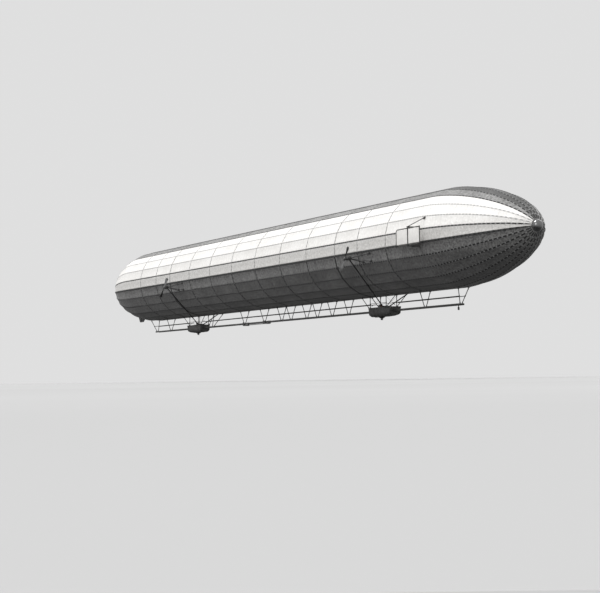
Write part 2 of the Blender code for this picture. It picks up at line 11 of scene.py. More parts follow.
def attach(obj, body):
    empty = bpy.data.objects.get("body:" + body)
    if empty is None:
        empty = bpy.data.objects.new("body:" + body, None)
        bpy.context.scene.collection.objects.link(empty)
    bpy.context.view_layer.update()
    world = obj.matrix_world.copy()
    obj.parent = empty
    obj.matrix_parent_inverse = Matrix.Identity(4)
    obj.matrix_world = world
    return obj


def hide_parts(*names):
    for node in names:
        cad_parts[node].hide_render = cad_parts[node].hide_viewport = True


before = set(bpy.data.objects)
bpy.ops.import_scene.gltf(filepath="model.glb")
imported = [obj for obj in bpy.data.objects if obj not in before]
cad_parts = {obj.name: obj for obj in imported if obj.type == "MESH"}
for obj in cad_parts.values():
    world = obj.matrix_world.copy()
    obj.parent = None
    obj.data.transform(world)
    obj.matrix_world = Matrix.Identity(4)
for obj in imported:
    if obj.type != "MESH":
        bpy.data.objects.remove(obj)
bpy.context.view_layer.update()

UNIT = 0.1
BOTH = (-1.0, 1.0)
SHIP_SIDES = (("port", 1.0), ("starboard", -1.0))
SHIP_ENDS = (("fore", 1.0), ("aft", -1.0))

# hull, real metres and degrees
HULL_HALF = 64.0
HULL_R = 5.865
SIDES = 24
FACET = 360.0 / SIDES
TAPER = 15.9
TAPER_P = 1.731
TAPER_Q = 0.591
HALF_FACET = radians(FACET / 2.0)
FLAT = HULL_R * cos(HALF_FACET)
SPLIT = 28.0
COVER_END = 63.75
NOSE_START = 48.1
RINGS = (4.0, 12.0, 20.0, 28.0, 34.0, 41.0, 49.5, 56.5, 61.6)
HEAVY_RING = 28.0
LAST_BAND = 45.0          # no tape over the rings beyond this station
PALE_LIMIT = 50.0         # pale tapes end below the shoulder's painted shade
PORT_NOSE_PAINTED_SHADE = 58.0          # painted shade: the port gores take the dark ridge cloth from here on
SAG = 0.030               # depth of a panel's hollow as a share of its width
CLOTH_STEP = 0.40
CLOTH_ACROSS = 6          # strips of mesh across one facet
END_ROWS = 46             # rows of mesh along the rounded end
CLOTH_THICK = 0.02
JOIN = -7.5               # corner where the upper and the lower cloth meet
UPPER = (JOIN, 180.0 - JOIN)
LOWER = (180.0 - JOIN, 360.0 + JOIN)
COVERS = (("bow", SPLIT, COVER_END), ("middle", -SPLIT, SPLIT), ("stern", -COVER_END, -SPLIT))
# pale cloth, then painted shade: grey cloth on the shoulder, dark cloth on the ridge
UPPER_PAINTED_SHADE_STEPS = ("cloth_upper", "cloth_shoulder_painted_shade", "cloth_ridge_painted_shade")
TAPE_HALF = {"pale": 0.060, "dark": 0.075, "join": 0.115}
TAPE_LIFT = 0.016
TAPE_DEPTH = 0.035
TAPE_SHARE = 0.40         # widest half tape as a share of half a facet
BAND_HALF = {"upper": 0.045, "lower": 0.065, "heavy": 0.12}
BAND_LIFT = 0.022
BAND_DEPTH = 0.04
CORD_R = 0.014
EYELET_R = 0.030
CAP_FACE = 63.83
CAP_R = 0.68
CAP_OUT = 0.34
CAP_STEPS = 18
CAP_RIVETS = 24
LACE_PITCH = 0.60

# walkway
DECK_Z = -7.65
DECK_T = 0.22
DECK_HALF = 0.33
DECK_END = 48.5
PLANK_PITCH = 0.26
PLANK_GAP = 0.022
PLANK_T = 0.036
BEARER_PITCH = 1.0
RAIL_Z = -6.82
RAIL_R = 0.045
RAIL_REACH = (0.15, 0.35)
FRAME_R = 0.050
FRAME_TOP_Y = 0.72
FRAME_LOW_Y = 0.12
FRAME_SINK = 0.05
HEAD_Z = -FLAT - 0.035    # middle of the plates that the struts meet under the hull
HEAD_PLATE = (0.30, 0.13, 0.05)
HEAD_BOLT_DX = 0.11
BOLT_R = 0.020
MID_FRAMES = ((-24.4, 2.2), (-12.3, 0.0), (-5.3, 0.0), (0.5, 0.0), (3.5, 0.0), (8.5, 0.0),
              (11.7, 0.0), (16.1, 0.0), (20.8, 0.0))
BOW_FRAMES = ((40.3, 0.0), (48.3, 0.6))
STERN_FRAMES = ((-48.3, -1.0), (-42.1, 0.0))

# cars
GON_X = 30.0
GON_IN = 2.40
GON_OUT = 3.05
GON_BEAM = 1.64
GON_RIM = -7.35
GON_BOTTOM = -8.42
GON_WALL = 0.06
ENGINE_DX = 0.70
ENGINE_FLOOR = GON_BOTTOM + GON_WALL
COLUMN = (0.42, 0.32)
COLUMN_DX = -0.72
COLUMN_TOP = -6.80
SHAFT_Z = -7.18
SHAFT_R = 0.070
BUFFER_DX = -0.40
BUFFER_BOTTOM = -8.84
HANGER_Y = 0.76
POST_DX = (-2.0, 2.1)
HOOP_DX = (-2.34, 2.99)
BRACES = ((-2.30, -4.20), (2.10, 4.57))
CAR_RAIL_Z = -6.74
CAR_SKIN = 0.035
LAP_DX = (-2.1, -1.3, -0.4, 0.5, 1.4, 2.2, 2.8)
RIBS = 11
RIB_PITCH = 0.48
KEEL_DX = (-2.3, -2.0, -1.0, 0.0, 1.0, 1.7, 2.2, 2.6, 2.95)
CYLINDERS = (-0.375, -0.125, 0.125, 0.375)
FINS = 7
COOLER_PLATES = 26
HANGER_R = 0.050
BRACE_R = 0.045

# propellers
PROP_Y = 7.60
PROP_Z = -1.60
PROP_DX = 4.00
PROP_R = 1.62
PROP_TILT = 20.0
CASE_DX = 1.05
BRACKET_FEET = ((0.0, -1.05), (1.9, -1.05), (0.0, -2.0), (1.9, -2.0))
FOOT_REST = 0.062
BRACKET_R = 0.055
CASE_BOLTS = 10

# rudders
RUD_X = 49.5
RUD_Y = 7.72
RUD_TOP = 0.80
RUD_BOTTOM = -1.15
RUD_HALF = 2.65
STAY_Z = 2.00
ARM_DX = (-2.2, -0.9)
POST_IN = 0.35
ARM_R = 0.050
RUD_BAR = 0.048
RUD_EDGE = 0.115          # from the frame's outer line to the edge of the canvas
PANEL_MESH = (30, 24)
SRUD_X = -56.0
SRUD_LEN = 3.1
SRUD_TOP_GAP = 0.30
SRUD_BOTTOM = -5.78
SRUD_SLANT = (0.75, 0.55)
SRUD_PIN = 0.14
SRUD_BAR = 0.045
SRUD_MESH = (12, 8)

# sliding weight and line block
WEIGHT_X = (-11.9, -4.6)
WEIGHT_LENGTH = (0.50, 0.90)
WEIGHT_DEPTH = (0.14, 0.10)
SLIDE_GAP = 0.055
CHEEK = 0.06
LIP = 0.04
STRAP_DX = 0.32           # straps from the middle, as a share of the saddle's length
BLOCK_X = 47.76

# camera, found from the picture; model metres, radians and millimetres
CAMERA_AT = (20.262, -9.77614, -1.62637)
CAMERA_HEADING = 2.679312
CAMERA_PITCH = 0.0530829
CAMERA_ROLL = -0.0133325
CAMERA_LENS = 94.06
CAMERA_FILM = 36.0
CAMERA_CLIP = (0.1, 2000.0)
FLOOR_R = 420.0
FLOOR_Z = -1.640


# Shader nodes

def node(tree, kind, inputs=(), **settings):
    """Adds a node; inputs are numbers, colours or sockets to link."""
    made = tree.nodes.new(kind)
    for key, value in settings.items():
        setattr(made, key, value)
    for key, value in dict(inputs).items():
        if isinstance(value, bpy.types.NodeSocket):
            tree.links.new(value, made.inputs[key])
        else:
            made.inputs[key].default_value = value
    return made


def math_node(tree, operation, a, b=0.0):
    return node(tree, "ShaderNodeMath", {0: a, 1: b}, operation=operation).outputs[0]


def times(tree, a, b):
    return math_node(tree, "MULTIPLY", a, b)


def mix_colour(tree, factor, a, b):
    return node(tree, "ShaderNodeMix", {0: factor, 6: a, 7: b}, data_type="RGBA").outputs[2]


def remap(tree, value, low, high, to_low=0.0, to_high=1.0):
    inputs = {"Value": value, "From Min": low, "From Max": high, "To Min": to_low, "To Max": to_high}
    return node(tree, "ShaderNodeMapRange", inputs).outputs[0]


def fractal(tree, vector, scale, detail=4.0, rough=0.55, distortion=0.0):
    inputs = {"Vector": vector, "Scale": scale, "Detail": detail, "Roughness": rough}
    return node(tree, "ShaderNodeTexNoise", dict(inputs, Distortion=distortion)).outputs[0]


def scaled(tree, vector, scale):
    return node(tree, "ShaderNodeMapping", {"Vector": vector, "Scale": scale}).outputs[0]


def grey(value, warm=0.0):
    return (value * (1.0 + warm), value, value * (1.0 - 1.6 * warm), 1.0)


LOOKS = {}                # this script's materials; the frame has some of the same names


def start_material(name, rough, metal=0.0):
    material = bpy.data.materials.new(name)
    LOOKS[name] = material
    material.use_nodes = True
    tree = material.node_tree
    shader = tree.nodes["Principled BSDF"]
    shader.inputs["Roughness"].default_value = rough
    shader.inputs["Metallic"].default_value = metal
    where = node(tree, "ShaderNodeTexCoord").outputs["Object"]
    return tree, shader, where


def finish_material(tree, shader, colour, rough=None):
    tree.links.new(colour, shader.inputs["Base Color"])
    if rough is not None:
        tree.links.new(rough, shader.inputs["Roughness"])


def set_bump(tree, shader, height, strength, distance, normal=None):
    inputs = {"Height": height, "Strength": strength, "Distance": distance}
    if normal is not None:
        inputs["Normal"] = normal
    made = node(tree, "ShaderNodeBump", inputs)
    tree.links.new(made.outputs[0], shader.inputs["Normal"])
    return made.outputs[0]


def hull_coordinates(tree, where):
    """Length along the hull and length round it, in model metres."""
    parts = node(tree, "ShaderNodeSeparateXYZ", {0: where})
    turn = math_node(tree, "ARCTAN2", parts.outputs[1], parts.outputs[2])
    around = times(tree, turn, HULL_R * UNIT)
    along = parts.outputs[0]
    flat = node(tree, "ShaderNodeCombineXYZ", {0: along, 1: around}).outputs[0]
    return along, around, flat


def line_every(tree, value, pitch, width):
    """1 on lines a pitch apart, 0 between them."""
    away = math_node(tree, "PINGPONG", value, pitch / 2.0)
    return remap(tree, away, width / 2.0, width, 1.0, 0.0)


def cloth_material(name, pale, stained, dirt, seam, dirt_level=0.5, specks=0.3, painted_shading=None):
    """Woven cotton in strips, with stains, runs of damp, specks of dirt and a fine weave.
    A painted shading band is (from height, to height, tone, strength, whether the specks fade below it); it
    paints shade or light on the cloth by height."""
    tree, shader, where = start_material(name, 0.82)
    along, _, flat = hull_coordinates(tree, where)
    patches = remap(tree, fractal(tree, where, 2.2, 6.0, 0.6), 0.36, 0.68)
    fine = remap(tree, fractal(tree, where, 26.0, 5.0, 0.7), 0.30, 0.72)
    runs = remap(tree, fractal(tree, scaled(tree, flat, (30.0, 2.2, 1.0)), 1.0, 4.0, 0.6), 0.48, 0.74)
    speck = remap(tree, fractal(tree, where, 36.0, 7.0, 0.78), 0.44, 0.64)
    bright = remap(tree, fractal(tree, flat, 33.0, 7.0, 0.78), 0.50, 0.68)
    strips = line_every(tree, along, 0.089, 0.0016)
    colour = mix_colour(tree, patches, pale, stained)
    # painted shade or painted light: the cloth mixes towards a tone by height
    if painted_shading:
        start, stop, tone, strength, specks_fade = painted_shading
        height = node(tree, "ShaderNodeSeparateXYZ", {0: where}).outputs[2]
        share = remap(tree, height, start, stop)
        colour = mix_colour(tree, times(tree, share, strength), colour, tone)
        if specks_fade:
            speck = times(tree, speck, remap(tree, share, 0.0, 1.0, 0.15, 1.0))
    for mask, strength, tone in ((runs, dirt_level, dirt), (fine, 0.35, stained),
                                 (bright, specks * 0.5, grey(pale[1] * 1.9)), (speck, specks, dirt),
                                 (strips, 0.55, seam)):
        colour = mix_colour(tree, times(tree, mask, strength), colour, tone)
    finish_material(tree, shader, colour, remap(tree, patches, 0.0, 1.0, 0.70, 0.92))
    shader.inputs["Sheen Weight"].default_value = 0.12
    weave = {"Vector": flat, "Scale": 75.0}
    warp = node(tree, "ShaderNodeTexWave", weave, bands_direction="X").outputs[1]
    weft = node(tree, "ShaderNodeTexWave", weave, bands_direction="Y").outputs[1]
    threads = math_node(tree, "MAXIMUM", warp, weft)
    soft = set_bump(tree, shader, fractal(tree, where, 9.0, 4.0), 0.25, 0.004)
    set_bump(tree, shader, math_node(tree, "ADD", threads, strips), 0.30, 0.0006, soft)


def tape_material(name, base, thread, direction, pitch, share):
    """Seam tape with a row of stitches along it."""
    tree, shader, where = start_material(name, 0.85)
    along, around, _ = hull_coordinates(tree, where)
    dash = math_node(tree, "PINGPONG", along if direction == "ALONG" else around, pitch / 2.0)
    stitch = remap(tree, dash, pitch * share * 0.45, pitch * share * 0.55, 1.0, 0.0)
    worn = remap(tree, fractal(tree, where, 14.0, 5.0, 0.65), 0.35, 0.70)
    colour = mix_colour(tree, times(tree, worn, 0.6), base, grey(base[0] * 0.62))
    finish_material(tree, shader, mix_colour(tree, stitch, colour, thread))
    set_bump(tree, shader, math_node(tree, "ADD", stitch, fractal(tree, where, 60.0, 3.0)), 0.5, 0.0008)


def painted_material(name, colour, worn, rough=0.5, metal=0.3, wear=0.5, scale=9.0):
    """Painted metal: uneven paint, edges rubbed bare, dull patches."""
    tree, shader, where = start_material(name, rough, metal)
    broad = remap(tree, fractal(tree, where, scale, 5.0, 0.6), 0.34, 0.70)
    rubbed = remap(tree, node(tree, "ShaderNodeNewGeometry").outputs["Pointiness"], 0.52, 0.60)
    chips = remap(tree, fractal(tree, where, scale * 7.0, 6.0, 0.7), 0.52, 0.66)
    mask = times(tree, math_node(tree, "MAXIMUM", rubbed, chips), wear)
    tone = mix_colour(tree, broad, colour, grey(colour[1] * 1.7, 0.02))
    dull = remap(tree, broad, 0.0, 1.0, rough - 0.12, rough + 0.18)
    finish_material(tree, shader, mix_colour(tree, mask, tone, worn), dull)
    set_bump(tree, shader, fractal(tree, where, scale * 12.0, 4.0), 0.25, 0.0006)


def bare_material(name, colour, dull, rough=(0.25, 0.5), brushed=(1.0, 1.0, 1.0), scale=12.0):
    """Bare metal with brush marks and tarnish."""
    tree, shader, where = start_material(name, rough[0], 1.0)
    marks = fractal(tree, scaled(tree, where, brushed), scale * 6.0, 5.0, 0.7)
    tarnish = remap(tree, fractal(tree, where, scale, 5.0, 0.6), 0.42, 0.72)
    gloss = remap(tree, marks, 0.3, 0.7, *rough)
    finish_material(tree, shader, mix_colour(tree, tarnish, colour, dull), gloss)
    set_bump(tree, shader, marks, 0.12, 0.0004)


def wood_material(name, dark, pale, axis):
    """Oiled planks: grain drawn out along one axis, each plank its own tone."""
    tree, shader, where = start_material(name, 0.6)
    stretch = [26.0, 26.0, 26.0]
    stretch[axis] = 2.5
    grain = fractal(tree, scaled(tree, where, stretch), 3.0, 6.0, 0.65, 0.4)
    parts = node(tree, "ShaderNodeSeparateXYZ", {0: where}).outputs
    board = math_node(tree, "FLOOR", math_node(tree, "DIVIDE", parts[1 - axis], PLANK_PITCH * UNIT))
    tone = node(tree, "ShaderNodeTexWhiteNoise", {"W": board}, noise_dimensions="1D").outputs[0]
    colour = mix_colour(tree, remap(tree, grain, 0.35, 0.65), dark, pale)
    shade = {"Value": remap(tree, tone, 0.0, 1.0, 0.55, 1.35), "Color": colour}
    finish_material(tree, shader, node(tree, "ShaderNodeHueSaturation", shade).outputs[0])
    set_bump(tree, shader, grain, 0.4, 0.0008)


def fibre_material(name, colour, pale, scale):
    """Twisted cord or leather, mottled at a fine scale."""
    tree, shader, where = start_material(name, 0.9)
    strands = fractal(tree, where, scale, 4.0, 0.7)
    finish_material(tree, shader, mix_colour(tree, remap(tree, strands, 0.35, 0.65), colour, pale))
    set_bump(tree, shader, strands, 0.5, 0.0008)


def make_materials():
    """Every material, kept in LOOKS under its name."""
    # painted shade: the height band darkens the upper cloth towards grey from 1.15 m above the axis down over
    # the side facet
    cloth_material("cloth_upper", grey(0.82, 0.015), grey(0.72, 0.02), grey(0.30, 0.03), grey(0.45),
                   0.10, 0.55, (0.115, 0.02, grey(0.56, 0.02), 0.8, True))
    # painted shade: the lower cloth is dark all over for the shaded underside; its height band lightens the
    # facet just below the join with painted light
    cloth_material("cloth_lower", grey(0.150, 0.01), grey(0.085, 0.01), grey(0.022), grey(0.03),
                   0.35, 0.90, (-0.245, -0.200, grey(0.24, 0.01), 0.75, False))
    # painted shade for the top of the hull: grey cloth on the shoulder, dark cloth on the ridge
    cloth_material("cloth_shoulder_painted_shade", grey(0.34, 0.01), grey(0.22, 0.01), grey(0.03), grey(0.06), 0.3, 0.8)
    cloth_material("cloth_ridge_painted_shade", grey(0.10, 0.01), grey(0.065, 0.01), grey(0.02), grey(0.03), 0.4, 0.7)
    cloth_material("rudder_canvas", grey(0.84, 0.015), grey(0.76, 0.02), grey(0.60, 0.03), grey(0.60), 0.2)
    cloth_material("stern_canvas", grey(0.13), grey(0.09), grey(0.06), grey(0.05), 0.4)
    tape_material("tape_pale", grey(0.60, 0.02), grey(0.34), "ALONG", 0.050, 0.5)
    # tape_dark and band_dark are seam tapes darkened further to match the cloth with painted shade that they
    # lie on
    tape_material("tape_dark", grey(0.018), grey(0.22), "ALONG", 0.055, 0.30)
    tape_material("tape_join", grey(0.018), grey(0.05), "ALONG", 0.060, 0.4)
    tape_material("band_pale", grey(0.42, 0.02), grey(0.20), "ROUND", 0.050, 0.5)
    tape_material("band_dark", grey(0.018), grey(0.10), "ROUND", 0.050, 0.4)
    fibre_material("lace", grey(0.30, 0.03), grey(0.52, 0.03), 160.0)
    fibre_material("dark_lace", grey(0.04), grey(0.12, 0.02), 160.0)
    fibre_material("rubber", grey(0.020), grey(0.045), 90.0)
    painted_material("car_skin", grey(0.022), grey(0.12), 0.50, 0.30, 0.35, 7.0)
    painted_material("strut_paint", grey(0.014), grey(0.10), 0.50, 0.20, 0.35, 12.0)
    painted_material("engine_iron", grey(0.050), grey(0.16), 0.55, 0.6, 0.5, 16.0)
    painted_material("lead", grey(0.055), grey(0.18), 0.62, 0.4, 0.5, 16.0)
    bare_material("polished_cap", grey(0.24), grey(0.14), (0.22, 0.38), (1.0, 6.0, 6.0), 10.0)
    bare_material("blade_alloy", grey(0.13), grey(0.07), (0.38, 0.6), (1.0, 1.0, 9.0), 12.0)
    bare_material("shaft_steel", grey(0.07), grey(0.04), (0.35, 0.60), (9.0, 1.0, 1.0), 14.0)
    bare_material("brass", (0.62, 0.44, 0.16, 1.0), (0.30, 0.21, 0.09, 1.0), (0.22, 0.45))
    bare_material("copper", (0.55, 0.26, 0.14, 1.0), (0.24, 0.13, 0.09, 1.0), (0.26, 0.5))
    wood_material("deck_wood", (0.045, 0.036, 0.028, 1.0), (0.11, 0.088, 0.066, 1.0), 1)
    wood_material("car_boards", (0.06, 0.045, 0.032, 1.0), (0.15, 0.11, 0.075, 1.0), 0)


# Shapes, added to a bmesh in real metres

def vec(x, y, z):
    return Vector((x, y, z))


def circle(count, start=0.0):
    """Angles that part a full turn into equal steps."""
    return [start + 2.0 * pi * k / count for k in range(count)]


def spoke(angle, radius=1.0, x=0.0):
    """Point beside the ship's axis, at an angle from port over the top."""
    return vec(x, radius * cos(angle), radius * sin(angle))


def block(bm, centre, size, bevel=0.0, turn=None):
    """Box with its edges taken off."""
    made = bmesh.ops.create_cube(bm, size=1.0)["verts"]
    matrix = Matrix.Translation(Vector(centre))
    if turn is not None:
        matrix = matrix @ turn.to_4x4()
    for v in made:
        v.co = vec(v.co.x * size[0], v.co.y * size[1], v.co.z * size[2])
    if bevel:
        edges = list({e for v in made for e in v.link_edges})
        rounded = bmesh.ops.bevel(bm, geom=edges, offset=bevel, segments=2, affect="EDGES", profile=0.6)
        made = list({v for f in rounded["faces"] for v in f.verts})
    for v in made:
        v.co = matrix @ v.co


def ring(bm, centre, side, up, radius, sides):
    return [bm.verts.new(centre + side * (cos(t) * radius) + up * (sin(t) * radius)) for t in circle(sides)]


def tube(bm, points, radius, sides=10, closed=False):
    """Round bar through the points: a closed loop, or open with flat ends."""
    line = [Vector(p) for p in points]
    count = len(line)
    side = (line[1] - line[-1 if closed else 0]).orthogonal().normalized()
    rings = []
    for i, p in enumerate(line):
        after = line[(i + 1) % count] if closed else line[min(i + 1, count - 1)]
        before = line[i - 1] if closed else line[max(i - 1, 0)]
        way = (after - before).normalized()
        side = (side - way * side.dot(way)).normalized()
        rings.append(ring(bm, p, side, way.cross(side), radius, sides))
    skin(bm, rings + rings[:1] if closed else rings, not closed)


def hoop(bm, points, radius, sides=8):
    tube(bm, points, radius, sides, True)


def quads(bm, rows):
    """Faces between rows of vertices."""
    faces = []
    for a, b in zip(rows, rows[1:]):
        faces += [bm.faces.new((a[k], a[k + 1], b[k + 1], b[k])) for k in range(len(a) - 1)]
    return faces


def skin(bm, rings, ends=True):
    """Faces between equal rings of vertices, with flat ends."""
    quads(bm, [r + r[:1] for r in rings])
    if ends:
        bm.faces.new(list(reversed(rings[0])))
        bm.faces.new(rings[-1])


def loft(bm, loops):
    skin(bm, [[bm.verts.new(p) for p in loop] for loop in loops])


def turned(bm, profile, centre, axis, sides=32):
    """Solid of revolution from (along, radius) points; both ends close."""
    way = Vector(axis).normalized()
    side = way.orthogonal().normalized()
    up = way.cross(side)
    skin(bm, [ring(bm, Vector(centre) + way * along, side, up, max(radius, 0.0004), sides)
              for along, radius in profile])


def collar(bm, at, axis, radius, length, sides=12):
    """Short sleeve with chamfered ends."""
    h = length / 2.0
    c = radius * 0.18
    half = [(-h, radius * 0.5), (-h, radius - c), (-h + c, radius)]
    turned(bm, half + [(-along, r) for along, r in reversed(half)], at, axis, sides)


def rivet(bm, at, normal, radius):
    """Low round head standing on a surface."""
    n = Vector(normal).normalized()
    profile = [(-radius * 0.4, radius), (radius * 0.25, radius * 0.85), (radius * 0.6, radius * 0.3)]
    turned(bm, profile, at, n, 6)


def bolt(bm, at, normal, radius):
    """Hexagon head with a washer."""
    n = Vector(normal).normalized()
    turned(bm, [(-radius * 0.3, radius * 1.5), (radius * 0.15, radius * 1.5)], at, n, 10)
    turned(bm, [(0.0, radius), (radius * 0.75, radius), (radius * 0.95, radius * 0.75)], at, n, 6)


def wire(bm, a, b, radius=0.012):
    """Stay wire with a turnbuckle near its lower end."""
    a = Vector(a)
    b = Vector(b)
    tube(bm, (a, b), radius, 5)
    way = (b - a).normalized()
    low = a if a.z < b.z else b
    inward = way if low is a else -way
    turned(bm, [(0.0, radius), (0.04, 0.030), (0.20, 0.030), (0.24, radius)], low + inward * 0.30, inward, 8)


def piece(name, bm, material, node_name=None, sharp=38.0, body="hull"):
    """Scales a finished bmesh to the model, links it and makes it ride on its body."""
    for v in bm.verts:
        v.co *= UNIT
    bmesh.ops.recalc_face_normals(bm, faces=bm.faces)
    mesh = bpy.data.meshes.new(name)
    bm.to_mesh(mesh)
    bm.free()
    for each in [material] if isinstance(material, str) else material:
        mesh.materials.append(LOOKS[each])
    mesh.shade_smooth()
    mesh.set_sharp_from_angle(angle=radians(sharp))
    ob = bpy.data.objects.new(name, mesh)
    bpy.context.scene.collection.objects.link(ob)
    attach(ob, body)
    if node_name:
        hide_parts(node_name)
    return ob


def thicken(ob, thickness, offset=0.0):
    thick = ob.modifiers.new("thickness", "SOLIDIFY")
    thick.thickness = thickness * UNIT
    thick.offset = offset


# Hull

def hull_radius(x):
    """Radius over the corners at a station."""
    d = HULL_HALF - abs(x)
    if d >= TAPER:
        return HULL_R
    return HULL_R * (1.0 - (1.0 - max(0.0, d / TAPER)) ** TAPER_P) ** TAPER_Q


def hull_point(x, angle):
    """Point on the flat-sided hull; angle in degrees from port, over the top."""
    flat = hull_radius(x) * cos(HALF_FACET)
    return spoke(radians(angle), flat / cos(radians(angle - FACET * round(angle / FACET))), x)


def all_rings():
    return sorted([-x for x in RINGS] + list(RINGS))


def bay_share(x):
    """How far x lies between its two rings, 0 at a ring and 1 at the next."""
    stops = [-HULL_HALF] + all_rings() + [HULL_HALF]
    for a, b in zip(stops, stops[1:]):
        if a <= x <= b:
            return (x - a) / (b - a)
    return 0.0


def hollow(x, across):
    """Depth of the cloth below the flat panel; across runs from -1 to 1."""
    width = 2.0 * hull_radius(x) * sin(HALF_FACET)
    along = sin(pi * bay_share(x)) ** 0.7
    return SAG * width * (1.0 - across * across) * (0.30 + 0.70 * along)


def crease(x, angle, across):
    """Small folds that fade out towards the longitudinals."""
    p = vec(x * 0.9, radians(angle) * HULL_R * 0.55, 3.1)
    broad = noise.noise(p) * 0.020
    fine = noise.noise(vec(x * 3.2 + angle, angle * 0.05, 0.7)) * 0.008
    return (broad + fine) * (1.0 - across * across) * min(1.0, hull_radius(x) / HULL_R)


def cloth_rows(x0, x1):
    """Stations along a length of cover, closer together on the rounded end."""
    low, high = sorted((abs(x0), abs(x1)))
    if x0 < 0.0 < x1:
        count = round((x1 - x0) / CLOTH_STEP)
        return [x0 + (x1 - x0) * i / count for i in range(count + 1)]
    count = round((NOSE_START - low) / CLOTH_STEP)
    rows = [low + (NOSE_START - low) * i / count for i in range(count)]
    rows += [NOSE_START + (high - NOSE_START) * sin(pi / 2.0 * i / END_ROWS) for i in range(END_ROWS + 1)]
    return [-x for x in reversed(rows)] if x0 < 0.0 else rows


def cloth_columns(first, last):
    """Angles across the facets between two corners, with their place across the facet."""
    columns = []
    for f in range(round((last - first) / FACET)):
        middle = first + FACET * (f + 0.5)
        for i in range(CLOTH_ACROSS):
            v = -1.0 + 2.0 * i / CLOTH_ACROSS
            turn = degrees(atan(v * tan(HALF_FACET)))
            columns.append((middle + turn, middle, v))
    columns.append((last, last - FACET / 2.0, 1.0))
    return columns


def painted_shade_step(middle, x):
    """Material of an upper facet: 0 pale side, 1 grey painted shade on the shoulder, 2 dark painted shade on
    the ridge and on the port gores near the nose.
    """
    away = abs(middle - 90.0)
    if x > PORT_NOSE_PAINTED_SHADE and middle < 60.0:
        return 2
    return 2 if away < 20.0 else 1 if away < 35.0 else 0


def cover(name, x0, x1, corners, material, node_name=None):
    """One stretched sheet of the hull's cloth."""
    bm = bmesh.new()
    columns = cloth_columns(*corners)
    grid = []
    for x in cloth_rows(x0, x1):
        line = []
        for angle, middle, v in columns:
            depth = hollow(x, v) + crease(x, angle, v)
            p = hull_point(x, middle + (angle - middle) * 0.999999)
            line.append(bm.verts.new(p - spoke(radians(middle), depth)))
        grid.append(line)
    faces = quads(bm, grid)
    area = sum(face.calc_area() for face in faces)
    # painted shade: shoulder and ridge facets, and the port gores near the nose, take the darker cloths
    if corners == UPPER:
        for i, face in enumerate(faces):
            row, k = divmod(i, len(columns) - 1)
            face.material_index = painted_shade_step(columns[k][1], grid[row][k].co.x)
    ob = piece(name, bm, material, node_name, 30.0)
    thicken(ob, CLOTH_THICK, -1.0)


def covers():
    for tag, x0, x1 in COVERS:
        cover("cover_upper_" + tag, x0, x1, UPPER, UPPER_PAINTED_SHADE_STEPS, "envelope_" + tag)
        # the lower cover's cloth carries painted shade
        cover("cover_lower_" + tag, x0, x1, LOWER, "cloth_lower")


def tape_section(x, angle, half, lift, depth):
    """Six points of a tape folded over the corner at that angle."""
    r = hull_radius(x)
    half = min(half, TAPE_SHARE * r * sin(HALF_FACET))
    corner = spoke(radians(angle), r, x)
    out = spoke(radians(angle))
    sides = []
    for step in BOTH:
        t = radians(angle + step * FACET / 2.0)
        way = vec(0.0, -sin(t), cos(t)) * step
        sides.append((corner + way * half, spoke(t)))
    (a, na), (b, nb) = sides
    above = [a + na * lift, corner + out * lift, b + nb * lift]
    return above + [b - nb * depth, corner - out * depth, a - na * depth]


def long_tapes():
    """Seam tape over every longitudinal, in the tone of the cloth beside it: a tape darker than its cloth,
    darkened further where that cloth carries painted shade.
    """
    for tag, x0, x1 in COVERS:
        rows = cloth_rows(x0, x1)
        stations = [x for i, x in enumerate(rows) if i % 2 == 0 or i == len(rows) - 1]
        groups = {tone: bmesh.new() for tone in TAPE_HALF}
        for k in range(SIDES):
            angle = FACET * (k + 0.5)
            pale = FACET < min(angle, 180.0 - angle) < PALE_LIMIT
            tone = "join" if angle in LOWER else "pale" if pale else "dark"
            sections = [tape_section(x, angle, TAPE_HALF[tone], TAPE_LIFT, TAPE_DEPTH) for x in stations]
            loft(groups[tone], sections)
        for tone, bm in groups.items():
            piece("seam_" + tone + "_" + tag, bm, "tape_" + tone)


def band(bm, x, half, corners):
    """Flat band round the hull between two corners."""
    first, last = corners
    edges = ((-half, BAND_LIFT), (half, BAND_LIFT), (half, -BAND_DEPTH), (-half, -BAND_DEPTH))
    loops = []
    for k in range(round((last - first) / FACET) + 1):
        t = radians(first + k * FACET)
        loops.append([spoke(t, hull_radius(x + dx) + rise, x + dx) for dx, rise in edges])
    loft(bm, loops)


def ring_bands():
    """Tape over the main rings; the heavy ring of each end has a broad dark one on the lower cloth. The other
    bands on the lower cloth are dark to match its painted shade.
    """
    bands = {place: bmesh.new() for place in BAND_HALF}
    for x in all_rings():
        if abs(x) <= LAST_BAND:
            below = "heavy" if abs(x) == HEAVY_RING else "lower"
            for place, corners in (("upper", UPPER), (below, LOWER)):
                band(bands[place], x, BAND_HALF[place], corners)
    for place, material in (("upper", "band_pale"), ("lower", "band_dark"), ("heavy", "tape_join")):
        piece("ring_tape_" + place, bands[place], material)


def join_lacing():
    """Cord laced across the seam between upper and lower cloth, through eyelets."""
    cords = bmesh.new()
    eyelets = bmesh.new()
    count = int(2.0 * (COVER_END - 1.0) / LACE_PITCH)
    for corner in LOWER:
        for i in range(count):
            x = -COVER_END + 1.0 + i * LACE_PITCH
            near = tape_section(x, corner, TAPE_HALF["join"], 0.030, 0.0)[0]
            middle = tape_section(x + LACE_PITCH * 0.25, corner, 0.1, 0.045, 0.0)[1]
            far = tape_section(x + LACE_PITCH * 0.5, corner, TAPE_HALF["join"], 0.030, 0.0)[2]
            tube(cords, (near, middle, far), CORD_R, 4)
            for p in (near, far):
                rivet(eyelets, p, vec(0.0, p.y, p.z), EYELET_R)
    piece("join_lacing", cords, "dark_lace")
    piece("join_eyelets", eyelets, "strut_paint")


